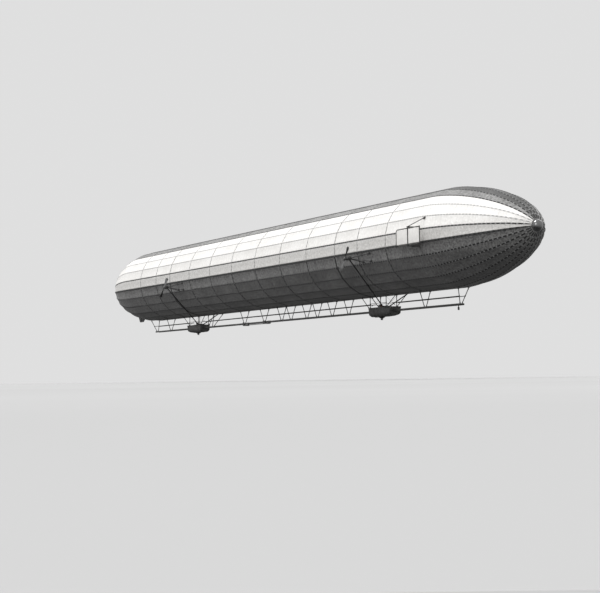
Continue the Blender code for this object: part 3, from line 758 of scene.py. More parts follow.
def end_cap(name, sign):
    """Polished boss with a bolted rim, closing the gores."""
    bm = bmesh.new()
    top = HULL_HALF + CAP_OUT
    rim = ((-0.30, 0.5), (-0.05, 0.9), (0.0, 1.0), (0.035, 1.0), (0.045, 0.965))
    profile = [(CAP_FACE + along, CAP_R * share) for along, share in rim]
    for i in range(1, CAP_STEPS + 1):
        t = i / CAP_STEPS * pi / 2.0
        profile.append((CAP_FACE + 0.05 + (top - CAP_FACE - 0.05) * sin(t), CAP_R * 0.95 * cos(t)))
    way = vec(sign, 0.0, 0.0)
    turned(bm, profile, (0.0, 0.0, 0.0), way, 72)
    for t in circle(CAP_RIVETS):
        rivet(bm, spoke(t, CAP_R, sign * (CAP_FACE + 0.01)), spoke(t, 1.0, sign * 0.4), 0.030)
    turned(bm, [(top - 0.03, 0.10), (top + 0.005, 0.10), (top + 0.015, 0.06)], (0, 0, 0), way, 24)
    piece(name + "_shell", bm, "polished_cap", name, 30.0)


# Walkway

def frame_side(z):
    """Half width of the V frames at a height."""
    low = DECK_Z - FRAME_SINK
    return FRAME_LOW_Y + (FRAME_TOP_Y - FRAME_LOW_Y) * (z - low) / (-FLAT - low)


def strut_head(bm, x, y):
    """Bolted plate under the hull's bottom facet."""
    block(bm, (x, y, HEAD_Z), HEAD_PLATE, 0.008)
    for step in BOTH:
        bolt(bm, (x + step * HEAD_BOLT_DX, y, HEAD_Z - HEAD_PLATE[2] / 2.0), (0, 0, -1), BOLT_R)


def v_frame(bm, x, lean):
    """Two legs from the hull's bottom corners to the deck, with sleeves at both ends."""
    for side in BOTH:
        top = vec(x + lean, side * FRAME_TOP_Y, HEAD_Z)
        low = vec(x, side * FRAME_LOW_Y, DECK_Z - FRAME_SINK)
        tube(bm, (low, top), FRAME_R, 12)
        way = (top - low).normalized()
        collar(bm, low + way * 0.14, way, FRAME_R * 1.4, 0.12)
        collar(bm, top - way * 0.16, way, FRAME_R * 1.5, 0.12)
        strut_head(bm, x + lean, side * FRAME_TOP_Y)
    block(bm, (x, 0.0, DECK_Z - 0.075), (0.20, 0.50, 0.05), 0.006)


def planks(bm, x0, x1, rng):
    """Cross boards, each a little out of true."""
    count = int((x1 - x0 - 0.04) / PLANK_PITCH)
    start = x0 + (x1 - x0 - count * PLANK_PITCH) / 2.0
    for i in range(count):
        x = start + (i + 0.5) * PLANK_PITCH
        turn = Matrix.Rotation(radians(rng.uniform(-0.7, 0.7)), 3, "Z")
        centre = (x, rng.uniform(-0.006, 0.006), DECK_Z - 0.022 + rng.uniform(-0.004, 0.002))
        block(bm, centre, (PLANK_PITCH - PLANK_GAP, DECK_HALF * 2.0 - 0.05, PLANK_T), turn=turn)


def deck_frame(bm, x0, x1):
    """Riveted channel bars along both edges, with bearers between them."""
    length = x1 - x0
    middle = (x0 + x1) / 2.0
    for side in BOTH:
        block(bm, (middle, side * (DECK_HALF - 0.010), DECK_Z - DECK_T / 2.0), (length, 0.020, DECK_T), 0.004)
        for z in (DECK_Z - 0.052, DECK_Z - DECK_T + 0.008):
            block(bm, (middle, side * (DECK_HALF - 0.045), z), (length, 0.066, 0.016))
    count = int(length / BEARER_PITCH)
    for i in range(count + 1):
        x = x0 + 0.04 + (length - 0.08) * i / count
        block(bm, (x, 0.0, DECK_Z - 0.115), (0.04, DECK_HALF * 2.0 - 0.04, 0.13))
        for side in BOTH:
            for drop in (0.060, 0.170):
                rivet(bm, (x, side * DECK_HALF, DECK_Z - drop), (0, side, 0), 0.012)


def rails(bm, x0, x1, clamps):
    """Hand rail on both sides, clamped to the frames and ending in sleeves."""
    y = frame_side(RAIL_Z)
    for side in BOTH:
        tube(bm, ((x0, side * y, RAIL_Z), (x1, side * y, RAIL_Z)), RAIL_R, 10)
        for x, lean in clamps:
            share = (RAIL_Z - DECK_Z + FRAME_SINK) / (-FLAT - DECK_Z + FRAME_SINK)
            collar(bm, (x + lean * share, side * y, RAIL_Z), (1, 0, 0), RAIL_R * 1.6, 0.14)
        for x in (x0, x1):
            collar(bm, (x, side * y, RAIL_Z), (1, 0, 0), RAIL_R * 1.3, 0.06)


def walkways():
    rng = random.Random(11)
    inset = 0.1
    near = GON_X - GON_IN
    far = GON_X + GON_OUT
    spans = (("middle", -near, near, MID_FRAMES, (inset - near, near - inset)),
             ("bow", far, DECK_END, BOW_FRAMES, (far + inset, DECK_END + RAIL_REACH[0])),
             ("stern", -DECK_END, -far, STERN_FRAMES, (-DECK_END - RAIL_REACH[1], -far - inset)))
    for tag, x0, x1, frames, reach in spans:
        boards = bmesh.new()
        planks(boards, x0, x1, rng)
        piece("deck_boards_" + tag, boards, "deck_wood", "walkway_" + tag)
        metal = bmesh.new()
        deck_frame(metal, x0, x1)
        for x, lean in frames:
            v_frame(metal, x, lean)
        rails(metal, reach[0], reach[1], frames)
        piece("walkway_frame_" + tag, metal, "strut_paint")


# Cars

CAR_LINE = ((1.0, 1.0, 0.0), (1.0, 0.50, 0.0), (0.93, 0.24, 0.0), (0.78, 0.08, 0.0), (0.50, 0.0, 0.0))


def smooth_line(points, steps):
    """Curve through the points, several steps to each stretch."""
    pts = [Vector(p) for p in points]
    out = []
    for i in range(len(pts) - 1):
        p0 = pts[max(i - 1, 0)]
        p1, p2 = pts[i], pts[i + 1]
        p3 = pts[min(i + 2, len(pts) - 1)]
        for k in range(steps):
            t = k / steps
            a = 2.0 * p1 + (p2 - p0) * t
            b = (2.0 * p0 - 5.0 * p1 + 4.0 * p2 - p3) * t * t
            c = (3.0 * p1 - p0 - 3.0 * p2 + p3) * t * t * t
            out.append((a + b + c) * 0.5)
    out.append(pts[-1])
    return out


def car_shape(dx):
    """Fullness and rise of the bottom at a place along the car, counted outwards."""
    near = max(0.0, 1.0 - min(dx + GON_IN, GON_OUT - dx) / 0.12)
    full = 1.0 - 0.07 * (1.0 - sqrt(max(0.0, 1.0 - near * near)))
    rise = 0.10 * max(0.0, (-2.0 - dx) / 0.40) ** 2 + 0.15 * max(0.0, (dx - 1.60) / 1.45) ** 2
    return full, rise


def car_section(dx, inset, end):
    """Line round the car at a station, from starboard rim under the keel to port rim."""
    full, rise = car_shape(min(GON_OUT, max(-GON_IN, dx)))
    beam = GON_BEAM / 2.0 * full - inset
    bottom = GON_BOTTOM + rise + inset
    x = end * (GON_X + min(GON_OUT - inset, max(inset - GON_IN, dx)))
    half = smooth_line(CAR_LINE, 3)
    points = []
    for side, row in ((-1.0, half), (1.0, list(reversed(half)))):
        for w, z, _ in row:
            points.append(vec(x, side * beam * w, bottom + (GON_RIM - bottom) * z))
    return points


def car_stations():
    """Places along the car, close together at the corners and where the bottom rises."""
    first = [-GON_IN + d for d in (0.0, 0.01, 0.03, 0.06, 0.12, 0.20, 0.30, 0.40)]
    middle = [-1.6 + 0.4 * i for i in range(9)]
    return first + middle + [GON_OUT - d for d in (1.10, 0.80, 0.50, 0.25, 0.12, 0.06, 0.03, 0.01, 0.0)]


def car_shell(tag, end):
    """Hollow boat-shaped car of sheet metal."""
    bm = bmesh.new()
    stations = car_stations()
    outer = [[bm.verts.new(p) for p in car_section(u, 0.0, end)] for u in stations]
    inner = [[bm.verts.new(p) for p in car_section(u, CAR_SKIN, end)] for u in stations]
    for rows in (outer, inner):
        quads(bm, rows)
        bm.faces.new(rows[0])
        bm.faces.new(rows[-1])
    for k in (0, -1):
        for a, b, c, d in zip(outer, outer[1:], inner[1:], inner):
            bm.faces.new((a[k], b[k], c[k], d[k]))
    for i in (0, -1):
        bm.faces.new((outer[i][0], outer[i][-1], inner[i][-1], inner[i][0]))
    piece("car_shell_" + tag, bm, "car_skin", "gondola_" + tag, 40.0)


def section_strip(bm, dx, half, lift, inset, end, rivets=None):
    """Metal strip round the car at a station; the outer ones have two rows of rivets."""
    a = car_section(dx - half, inset, end)
    b = car_section(dx + half, inset, end)
    centre = vec(end * (GON_X + dx), 0.0, GON_RIM + 0.2)
    flip = -1.0 if inset else 1.0
    loops = []
    for p, q in zip(a, b):
        out = (p + q) / 2.0 - centre
        out.x = 0.0
        out = out.normalized() * flip
        loops.append([p + out * lift, q + out * lift, q - out * 0.01, p - out * 0.01])
        if rivets is not None:
            for edge in (0.25, 0.75):
                rivet(rivets, p.lerp(q, edge) + out * lift, out, 0.014)
    loft(bm, loops)


def rim_line(end, inset, z):
    """Closed line round the car at the rim."""
    stations = car_stations()[1:-1]
    port = [car_section(dx, inset, end)[-1] for dx in stations]
    starboard = [car_section(dx, inset, end)[0] for dx in reversed(stations)]
    return [vec(p.x, p.y, z) for p in port + starboard]


def car_trim(tag, end):
    """Plate laps, gunwale, rubbing bar, keel and rivets outside, ribs inside."""
    bm = bmesh.new()
    rivets = bmesh.new()
    for dx in LAP_DX:
        section_strip(bm, dx, 0.055, 0.010, 0.0, end, rivets)
    for i in range(RIBS):
        section_strip(bm, -2.15 + RIB_PITCH * i, 0.020, 0.030, CAR_SKIN, end)
    hoop(bm, rim_line(end, -0.010, GON_RIM - 0.05), 0.040, 8)
    low = 6
    for k in (low, -1 - low):
        line = [car_section(dx, -0.012, end)[k] for dx in car_stations()[2:-2]]
        tube(bm, line, 0.022, 6)
        for p in line[1:-1]:
            rivet(rivets, p + vec(0.0, copysign(0.02, p.y), 0.0), (0.0, p.y, -0.2), 0.014)
    keel = [vec(end * (GON_X + dx), 0.0, GON_BOTTOM + car_shape(dx)[1] - 0.012)
            for dx in KEEL_DX]
    tube(bm, keel, 0.045, 8)
    for dx in (-GON_IN, GON_OUT):
        for y in (-0.5, -0.17, 0.17, 0.5):
            bottom = GON_BOTTOM + car_shape(dx)[1]
            at = (end * (GON_X + dx), y, (bottom + 0.12 + GON_RIM) / 2.0)
            block(bm, at, (0.03, 0.05, GON_RIM - bottom - 0.16), 0.006)
    piece("car_trim_" + tag, bm, "car_skin")
    piece("car_rivets_" + tag, rivets, "shaft_steel")


def car_inside(tag, end):
    """Floor boards, two benches, a stand with a wheel, and a board with three dials."""
    boards = bmesh.new()
    for i in range(7):
        y = (i - 3) * 0.17
        block(boards, (end * (GON_X + 0.15), y, GON_BOTTOM + 0.12), (4.6, 0.155, 0.03), 0.005)
    for dx in (-1.85, 2.55):
        block(boards, (end * (GON_X + dx), 0.0, GON_BOTTOM + 0.50), (0.30, GON_BEAM - 0.12, 0.035), 0.008)
    piece("car_boards_" + tag, boards, "car_boards")
    fittings = bmesh.new()
    x = end * (GON_X + 1.85)
    floor = GON_BOTTOM + 0.13
    stand = [(0.0, 0.10), (0.03, 0.10), (0.06, 0.04), (0.85, 0.035), (0.92, 0.05), (0.95, 0.03)]
    turned(fittings, stand, (x, 0.0, floor), (0, 0, 1), 16)
    centre = vec(x - 0.06, 0.0, floor + 0.90)
    hoop(fittings, [centre + spoke(t, 0.24) for t in circle(32)], 0.018, 8)
    for t in circle(6):
        tube(fittings, (centre, centre + spoke(t, 0.29)), 0.011, 8)
    collar(fittings, centre, (1, 0, 0), 0.045, 0.08)
    board_x = x + 0.28
    block(fittings, (board_x, 0.30, floor + 0.55), (0.03, 0.34, 0.26), 0.008)
    tube(fittings, ((board_x, 0.30, floor), (board_x, 0.30, floor + 0.45)), 0.02, 8)
    dial = [(0.0, 0.055), (0.02, 0.055), (0.03, 0.045)]
    for dy, dz in ((-0.09, 0.05), (0.08, 0.05), (0.0, -0.07)):
        turned(fittings, dial, (board_x - 0.015, 0.30 + dy, floor + 0.55 + dz), (-1, 0, 0), 20)
    piece("car_fittings_" + tag, fittings, "brass")


def engine(tag, end):
    """Upright four-cylinder motor with flywheel and pipes, and its cooler behind it."""
    x0 = end * GON_X + ENGINE_DX
    floor = ENGINE_FLOOR + 0.01
    iron = bmesh.new()
    block(iron, (x0, 0.0, floor + 0.42), (1.02, 0.44, 0.62), 0.030)
    block(iron, (x0, 0.0, floor + 0.11), (1.08, 0.30, 0.10), 0.015)
    for side in BOTH:
        block(iron, (x0, side * 0.255, floor + 0.17), (1.24, 0.07, 0.06), 0.010)
        for dx in (-0.52, 0.52):
            block(iron, (x0 + dx, side * 0.255, floor + 0.07), (0.08, 0.06, 0.14), 0.008)
    base = floor + 0.73
    for dx in CYLINDERS:
        x = x0 + dx
        profile = [(0.0, 0.115), (0.03, 0.115), (0.035, 0.100)]
        for fin in range(FINS):
            z = 0.06 + fin * 0.045
            profile += [(z, 0.092), (z + 0.006, 0.110), (z + 0.020, 0.110), (z + 0.026, 0.092)]
        profile += [(0.40, 0.098), (0.47, 0.090), (0.50, 0.055), (0.52, 0.030)]
        turned(iron, profile, (x, 0.0, base), (0, 0, 1), 24)
        for side in BOTH:
            tube(iron, ((x, side * 0.135, base - 0.02), (x, side * 0.135, base + 0.50)), 0.010, 6)
            tube(iron, ((x, side * 0.135, base + 0.50), (x, 0.02 * side, base + 0.53)), 0.014, 6)
    turned(iron, [(0.0, 0.10), (0.0, 0.30), (0.02, 0.335), (0.10, 0.335), (0.12, 0.30), (0.12, 0.10)],
           (x0 - 0.655, 0.0, floor + 0.345), (1, 0, 0), 40)
    column = vec(x0, 0.0, SHAFT_Z)
    collar(iron, column, (0, 1, 0), 0.085, 0.62, 20)
    collar(iron, column, (1, 0, 0), 0.120, 0.30, 20)
    for side in BOTH:
        collar(iron, column + vec(0.0, side * 0.19, 0.0), (0, 1, 0), 0.115, 0.05, 20)
    x = end * GON_X + COLUMN_DX
    core = (floor + 0.45, COLUMN_TOP - 0.10)
    for sx in BOTH:
        for sy in BOTH:
            leg = vec(x + sx * (COLUMN[0] / 2.0 - 0.02), sy * (COLUMN[1] / 2.0 - 0.02),
                      (floor + COLUMN_TOP) / 2.0 - 0.04)
            block(iron, leg, (0.04, 0.04, COLUMN_TOP - floor - 0.10))
    for z in core:
        block(iron, (x, 0.0, z), (COLUMN[0], COLUMN[1], 0.09), 0.015)
    for i in range(COOLER_PLATES):
        z = core[0] + 0.06 + (core[1] - core[0] - 0.12) * i / (COOLER_PLATES - 1)
        block(iron, (x, 0.0, z), (COLUMN[0] - 0.03, COLUMN[1] - 0.03, 0.012))
    for i in range(5):
        for j in range(4):
            tube(iron, [(x - 0.15 + 0.075 * i, -0.105 + 0.07 * j, z) for z in core], 0.014, 6)
    turned(iron, [(0.0, 0.05), (0.05, 0.055), (0.075, 0.04)], (x, 0.0, core[1] + 0.03), (0, 0, 1), 20)
    piece("engine_block_" + tag, iron, "engine_iron", "engine_" + tag)
    pipes = bmesh.new()
    for side, z in ((1.0, base + 0.36), (-1.0, base + 0.30)):
        y = side * 0.215
        for dx in CYLINDERS:
            x = x0 + dx
            branch = ((x, side * 0.09, z), (x, side * 0.16, z), (x + 0.03, y, z))
            tube(pipes, smooth_line(branch, 4), 0.026, 8)
        line = [(x0 - 0.40, y, z), (x0, y, z), (x0 + 0.45, y, z)]
        if side > 0:
            line += [(x0 + 0.55, y + 0.02, z - 0.10), (x0 + 0.58, y + 0.04, floor + 0.10)]
        tube(pipes, smooth_line(line, 5), 0.040, 12)
    for y, z in ((0.08, floor + 0.50), (-0.08, core[1] - 0.02)):
        ends = (x0 - 0.45, end * GON_X + COLUMN_DX + 0.16)
        line = ((ends[0], y, base + 0.10), ((ends[0] + ends[1]) / 2.0, y, (z + base) / 2.0), (ends[1], y, z))
        tube(pipes, smooth_line(line, 5), 0.030, 10)
    bowl = [(0.0, 0.05), (0.02, 0.065), (0.12, 0.065), (0.16, 0.04)]
    turned(pipes, bowl, (x0, -0.215, base + 0.14), (0, 0, 1), 20)
    piece("engine_pipes_" + tag, pipes, "copper")


def hanger(tag, end):
    """Gunwale hoop, posts and braces that carry the car, with a hand rail."""
    bm = bmesh.new()
    z = GON_RIM + 0.053
    hoops = [end * (GON_X + dx) for dx in HOOP_DX]
    posts = [end * (GON_X + dx) for dx in POST_DX]
    span = abs(hoops[1] - hoops[0]) + 0.12
    centre = (hoops[0] + hoops[1]) / 2.0
    top = HEAD_Z
    for side in BOTH:
        y = side * HANGER_Y
        block(bm, (centre, y, z), (span, 0.12, 0.022), 0.005)
        block(bm, (centre, y + side * 0.045, z), (span, 0.022, 0.10), 0.005)
        struts = [((x, y, z), (x, y, top), HANGER_R) for x in posts]
        for foot, head in BRACES:
            struts.append(((end * (GON_X + foot), y, z), (end * (GON_X + head), y, top), BRACE_R))
        for a, b, r in struts:
            tube(bm, (a, b), r, 12)
            way = (Vector(b) - Vector(a)).normalized()
            collar(bm, Vector(a) + way * 0.12, way, r * 1.5, 0.16)
            collar(bm, Vector(b) - way * 0.14, way, r * 1.5, 0.12)
            strut_head(bm, b[0], y)
            block(bm, (a[0], y + side * 0.050, z), (0.22, 0.026, 0.10), 0.006)
            for dx in (-0.07, 0.07):
                bolt(bm, (a[0] + dx, y + side * 0.063, z), (0, side, 0), 0.018)
        tube(bm, ((posts[0], y, CAR_RAIL_Z), (posts[1], y, CAR_RAIL_Z)), 0.03, 10)
        for x in posts:
            collar(bm, (x, y, CAR_RAIL_Z), (1, 0, 0), 0.062, 0.14)
    for x in hoops:
        block(bm, (x, 0.0, z), (0.12, 2.0 * HANGER_Y, 0.08), 0.006)
    piece("hanger_frame_" + tag, bm, "strut_paint", "hanger_" + tag)
    stays = bmesh.new()
    for x in posts:
        for side in BOTH:
            wire(stays, (x, side * HANGER_Y, z + 0.06), (x, -side * HANGER_Y, top - 0.12), 0.010)
    piece("hanger_wires_" + tag, stays, "shaft_steel")


def buffer(tag, end):
    """Sprung stem with a round foot under the car."""
    top = GON_BOTTOM - 0.003
    h = top - BUFFER_BOTTOM
    bm = bmesh.new()
    profile = [(0.0, 0.40), (0.012, 0.42), (0.06, 0.43), (0.075, 0.41), (0.14, 0.30)]
    for i in range(6):
        z = 0.145 + i * 0.020
        profile += [(z, 0.27 - i * 0.024), (z + 0.010, 0.25 - i * 0.024)]
    profile += [(h - 0.13, 0.115), (h - 0.10, 0.150), (h - 0.02, 0.160), (h, 0.150)]
    turned(bm, profile, (end * GON_X + BUFFER_DX, 0.0, top), (0, 0, -1), 36)
    for t in circle(8, 0.2):
        at = (end * GON_X + BUFFER_DX + 0.36 * cos(t), 0.36 * sin(t), top - 0.085)
        bolt(bm, Vector(at), (0, 0, -1), 0.020)
    piece("buffer_foot_" + tag, bm, "rubber", "buffer_" + tag)


# Propellers and their drive

def prop_hub(end, side):
    return vec(end * GON_X + PROP_DX, side * PROP_Y, PROP_Z)


def side_foot(x, z, side):
    """Point on the hull's side at a height, with the outward direction there."""
    best = None
    for k in range(-5, 6):
        middle = FACET * k
        low = hull_radius(x) * sin(radians(middle - FACET / 2.0))
        high = hull_radius(x) * sin(radians(middle + FACET / 2.0))
        if low <= z <= high:
            best = radians(middle)
    flat = hull_radius(x) * cos(HALF_FACET)
    y = (flat - sin(best) * z) / cos(best)
    slope = (hull_radius(x + 0.05) - hull_radius(x - 0.05)) / 0.1
    normal = vec(-slope, side * cos(best), sin(best)).normalized()
    return vec(x, side * y, z), normal


def foot_plate(bm, at, normal):
    """Pad bolted to the hull where a strut stands."""
    across = vec(1.0, 0.0, 0.0)
    across = (across - normal * across.dot(normal)).normalized()
    up = normal.cross(across)
    turn = Matrix((across, up, normal)).transposed()
    block(bm, at + normal * 0.042, (0.34, 0.27, 0.07), 0.012, turn)
    turned(bm, [(0.0, 0.10), (0.05, 0.085), (0.07, 0.06)], at + normal * 0.075, normal, 16)
    for i in BOTH:
        for j in BOTH:
            bolt(bm, at + normal * 0.077 + across * (0.13 * i) + up * (0.095 * j), normal, 0.020)


def strut(bm, a, foot, radius):
    """Round strut from a fitting to a foot plate on the hull."""
    at, normal = foot
    end = at + normal * (FOOT_REST + 0.02)
    tube(bm, (a, end), radius, 12)
    way = (end - Vector(a)).normalized()
    collar(bm, end - way * 0.10, way, radius * 1.45, 0.14)
    foot_plate(bm, at, normal)


def prop_bracket(where, end, side):
    """Gear case with bolted covers and a sleeve that leads aft to the screw, on four struts."""
    case = prop_hub(end, side) + vec(CASE_DX, 0.0, 0.0)
    bm = bmesh.new()
    profile = [(-0.30, 0.12), (-0.30, 0.225), (-0.285, 0.24), (-0.25, 0.24), (-0.24, 0.20), (-0.10, 0.205),
               (0.0, 0.235), (0.10, 0.205), (0.26, 0.20), (0.27, 0.24), (0.325, 0.24), (0.34, 0.225),
               (0.34, 0.12)]
    turned(bm, profile, case, (1, 0, 0), 36)
    for t in circle(CASE_BOLTS):
        bolt(bm, case + spoke(t, 0.220, 0.335), (1, 0, 0), 0.014)
        bolt(bm, case + spoke(t, 0.220, -0.295), (-1, 0, 0), 0.014)
    turned(bm, [(0.0, 0.13), (0.16, 0.13), (0.18, 0.115)], case + vec(0.28, 0, 0), (1, 0, 0), 24)
    length = CASE_DX - 0.22 - 0.28
    profile = [(0.0, 0.125), (0.05, 0.100), (length - 0.12, 0.092), (length - 0.10, 0.118), (length, 0.118)]
    turned(bm, profile, case + vec(-0.28, 0, 0), (-1, 0, 0), 24)
    for dx, z in BRACKET_FEET:
        strut(bm, case, side_foot(case.x + dx, z, side), BRACKET_R)
    piece("outrigger_" + where, bm, "strut_paint", "prop_bracket_" + where)


BLADE = ((0.06, 0.11, 62.0, 0.090), (0.12, 0.16, 57.0, 0.088), (0.25, 0.22, 50.0, 0.076),
         (0.45, 0.30, 38.0, 0.058), (0.65, 0.38, 30.0, 0.046), (0.82, 0.45, 25.0, 0.036),
         (0.92, 0.42, 22.5, 0.030), (0.975, 0.29, 21.5, 0.022), (0.996, 0.12, 21.0, 0.012))


def blade(bm, hub, angle, hand):
    """Twisted blade with an aerofoil section and a rounded tip."""
    rows = smooth_line([(t, width, pitch) for t, width, pitch, thick in BLADE], 3)
    thicks = smooth_line([(t, thick, 0.0) for t, width, pitch, thick in BLADE], 3)
    loops = []
    for (t, width, pitch), (_, thick, _) in zip(rows, thicks):
        p = radians(pitch) * hand
        chord = vec(sin(p), cos(p), 0.0)
        face = vec(cos(p), -sin(p), 0.0)
        loop = []
        for a in circle(16):
            across = 0.5 * cos(a)
            swell = 0.5 * sin(a) * (1.0 if sin(a) > 0.0 else 0.45)
            q = chord * (across * width) + face * (swell * thick) + vec(0.0, 0.0, PROP_R * t)
            loop.append(hub + Matrix.Rotation(angle, 3, "X") @ q)
        loops.append(loop)
    loft(bm, loops)


def propeller(where, end, side):
    hub = prop_hub(end, side)
    bm = bmesh.new()
    spinner = [(-0.20, 0.02), (-0.19, 0.05), (-0.165, 0.085), (-0.12, 0.125), (-0.06, 0.148), (0.10, 0.150),
               (0.13, 0.145), (0.150, 0.120), (0.150, 0.05)]
    turned(bm, spinner, hub, (1, 0, 0), 36)
    for turn in (0.0, pi):
        angle = turn + side * radians(PROP_TILT)
        blade(bm, hub, angle, side * end)
        root = Matrix.Rotation(angle, 3, "X") @ vec(0.0, 0.0, 1.0)
        turned(bm, [(0.10, 0.105), (0.16, 0.100), (0.20, 0.075), (0.30, 0.055)], hub, root, 20)
    for t in circle(8, 0.3):
        bolt(bm, hub + spoke(t, 0.10, 0.148), (1, 0, 0), 0.012)
    collar(bm, hub + vec(-0.205, 0, 0), (1, 0, 0), 0.035, 0.05)
    body = "propeller_" + where
    piece("screw_" + where, bm, "blade_alloy", body, 45.0, body)


def drive_shaft(where, end, side):
    """Sloping shaft with a joint at each end and a steady bearing."""
    case = prop_hub(end, side) + vec(CASE_DX, 0.0, 0.0)
    start = vec(end * GON_X + ENGINE_DX, side * 0.333, SHAFT_Z)
    low = start + vec(0.0, side * 0.12, 0.0)
    way = (case - low).normalized()
    top = case - way * 0.33
    bm = bmesh.new()
    block(bm, start + vec(0.0, side * 0.10, 0.0), (0.24, 0.20, 0.22), 0.020)
    tube(bm, (low, top), SHAFT_R, 16)
    sleeves = ((low + way * 0.24, 0.085, 0.16), (low + way * 0.46, 0.070, 0.06),
               (top - way * 0.12, 0.090, 0.24), (top - way * 0.36, 0.070, 0.06),
               (low.lerp(top, 0.5), 0.075, 0.14))
    for at, r, length in sleeves:
        collar(bm, at, way, r, length, 20)
    cross = way.orthogonal().normalized()
    for at in (low + way * 0.35, top - way * 0.28):
        for pin in (cross, way.cross(cross)):
            tube(bm, (at - pin * 0.085, at + pin * 0.085), 0.022, 10)
    piece("shaft_" + where, bm, "shaft_steel", "drive_shaft_" + where)


# Rudders

def rudder_frame(tag, side):
    bm = bmesh.new()
    top = vec(RUD_X, side * RUD_Y, RUD_TOP + 0.13)
    low = vec(RUD_X, side * RUD_Y, RUD_BOTTOM - 0.13)
    for at in (top, low):
        collar(bm, at, (0, 0, 1), 0.120, 0.12, 20)
        for dx in ARM_DX:
            strut(bm, at, side_foot(at.x + dx, at.z * 0.8, side), ARM_R)
    inner = side * (FLAT + POST_IN)
    inner_top = vec(RUD_X, inner, top.z)
    inner_low = vec(RUD_X, inner, low.z)
    for a, b in ((inner_top, inner_low), (top, inner_top), (low, inner_low)):
        tube(bm, (a, b), ARM_R, 12)
    for p in (inner_top, inner_low):
        collar(bm, p, (0, 0, 1), 0.080, 0.16)
    strut(bm, top, side_foot(RUD_X, STAY_Z, side), 0.045)
    piece("rudder_arms_" + tag, bm, "strut_paint", "rudder_frame_" + tag)
    stays = bmesh.new()
    wire(stays, inner_low + vec(0, 0, 0.05), top - vec(0, side * 0.15, 0.02), 0.010)
    wire(stays, low - vec(0, side * 0.15, -0.02), inner_top - vec(0, 0, 0.05), 0.010)
    piece("rudder_arm_wires_" + tag, stays, "shaft_steel")


def rudder_outline(z0, z1, x0, x1, corner):
    """Closed outline in the x-z plane with a rounded top aft corner."""
    points = [(x1, z0), (x1, z1)]
    for i in range(9):
        t = pi / 2.0 * i / 8
        points.append((x0 + corner - corner * sin(t), z1 - corner + corner * cos(t)))
    points.append((x0, z0))
    return points


def stretched_panel(name, body, post, x0, x1, z0, z1, bulge):
    """Canvas laced into a frame: scalloped edges and a slight dish from the wind."""
    bm = bmesh.new()
    nx, nz = PANEL_MESH
    grid = []
    for i in range(nx + 1):
        u = i / nx
        row = []
        for j in range(nz + 1):
            v = j / nz
            pull_x = 0.022 * abs(sin(pi * 7.0 * v)) * (1.0 if u < 0.5 else -1.0) * abs(1.0 - 2.0 * u) ** 6
            pull_z = 0.022 * abs(sin(pi * 9.0 * u)) * (1.0 if v < 0.5 else -1.0) * abs(1.0 - 2.0 * v) ** 6
            x = x0 + (x1 - x0) * u + pull_x
            z = z0 + (z1 - z0) * v + pull_z
            dish = bulge * sin(pi * u) * sin(pi * v)
            ripple = 0.008 * noise.noise(vec(x * 2.6, z * 2.6, post.y))
            row.append(bm.verts.new(vec(post.x + x, post.y + dish + ripple, z)))
        grid.append(row)
    quads(bm, grid)
    ob = piece(name, bm, "rudder_canvas", None, 60.0, body)
    thicken(ob, 0.014)


def frame_lacing(bm, corners, count):
    """Turns of cord round the frame bars between two points."""
    a, b = (Vector(p) for p in corners)
    way = (b - a).normalized()
    for i in range(count):
        at = a.lerp(b, (i + 0.5) / count)
        side = vec(0.0, 1.0, 0.0)
        up = way.cross(side)
        turn = [at + side * (0.066 * cos(t)) + up * (0.066 * sin(t)) + way * (0.02 * cos(t))
                for t in circle(10)]
        hoop(bm, turn, 0.009, 4)


def rudder(tag, side):
    """Pipe frame with two laced canvas panels on a shared post."""
    body = "rudder_" + tag
    post = vec(RUD_X, side * RUD_Y, 0.0)
    z0, z1 = RUD_BOTTOM, RUD_TOP
    bm = bmesh.new()
    bar = RUD_BAR
    outline = rudder_outline(z0 + bar, z1 - bar, -RUD_HALF + bar, RUD_HALF - bar, 0.34)
    line = [post + vec(x, 0.0, z) for x, z in outline]
    hoop(bm, line, bar, 10)
    tube(bm, (post + vec(0, 0, z0 - 0.05), post + vec(0, 0, z1 + 0.05)), 0.070, 16)
    tube(bm, (line[0], line[1]), 0.062, 12)
    for z in (z0 + bar, z1 - bar):
        for x in (-0.16, 0.16):
            collar(bm, post + vec(x, 0.0, z), (1, 0, 0), 0.062, 0.10)
        collar(bm, post + vec(0.0, 0.0, z), (0, 0, 1), 0.095, 0.16)
    for p in (line[0], line[1], line[-1]):
        collar(bm, p, (0, 0, 1), 0.072, 0.12)
    piece("rudder_pipes_" + tag, bm, "strut_paint", body, body=body)
    for place, x0, x1 in (("aft", -RUD_HALF + RUD_EDGE, -0.10), ("fore", 0.10, RUD_HALF - RUD_EDGE)):
        name = "rudder_cloth_" + place + "_" + tag
        stretched_panel(name, body, post, x0, x1, z0 + RUD_EDGE, z1 - RUD_EDGE, 0.05 * side)
    cords = bmesh.new()
    for z in (z0 + bar, z1 - bar):
        for x0, x1 in ((-RUD_HALF + 0.5, -0.25), (0.25, RUD_HALF - 0.2)):
            frame_lacing(cords, (post + vec(x0, 0, z), post + vec(x1, 0, z)), 10)
    for x in (-RUD_HALF + bar, RUD_HALF - bar):
        frame_lacing(cords, (post + vec(x, 0, z0 + 0.2), post + vec(x, 0, z1 - 0.45)), 7)
    piece("rudder_lacing_" + tag, cords, "lace", body=body)


def hull_floor(x):
    return -hull_radius(x) * cos(HALF_FACET)


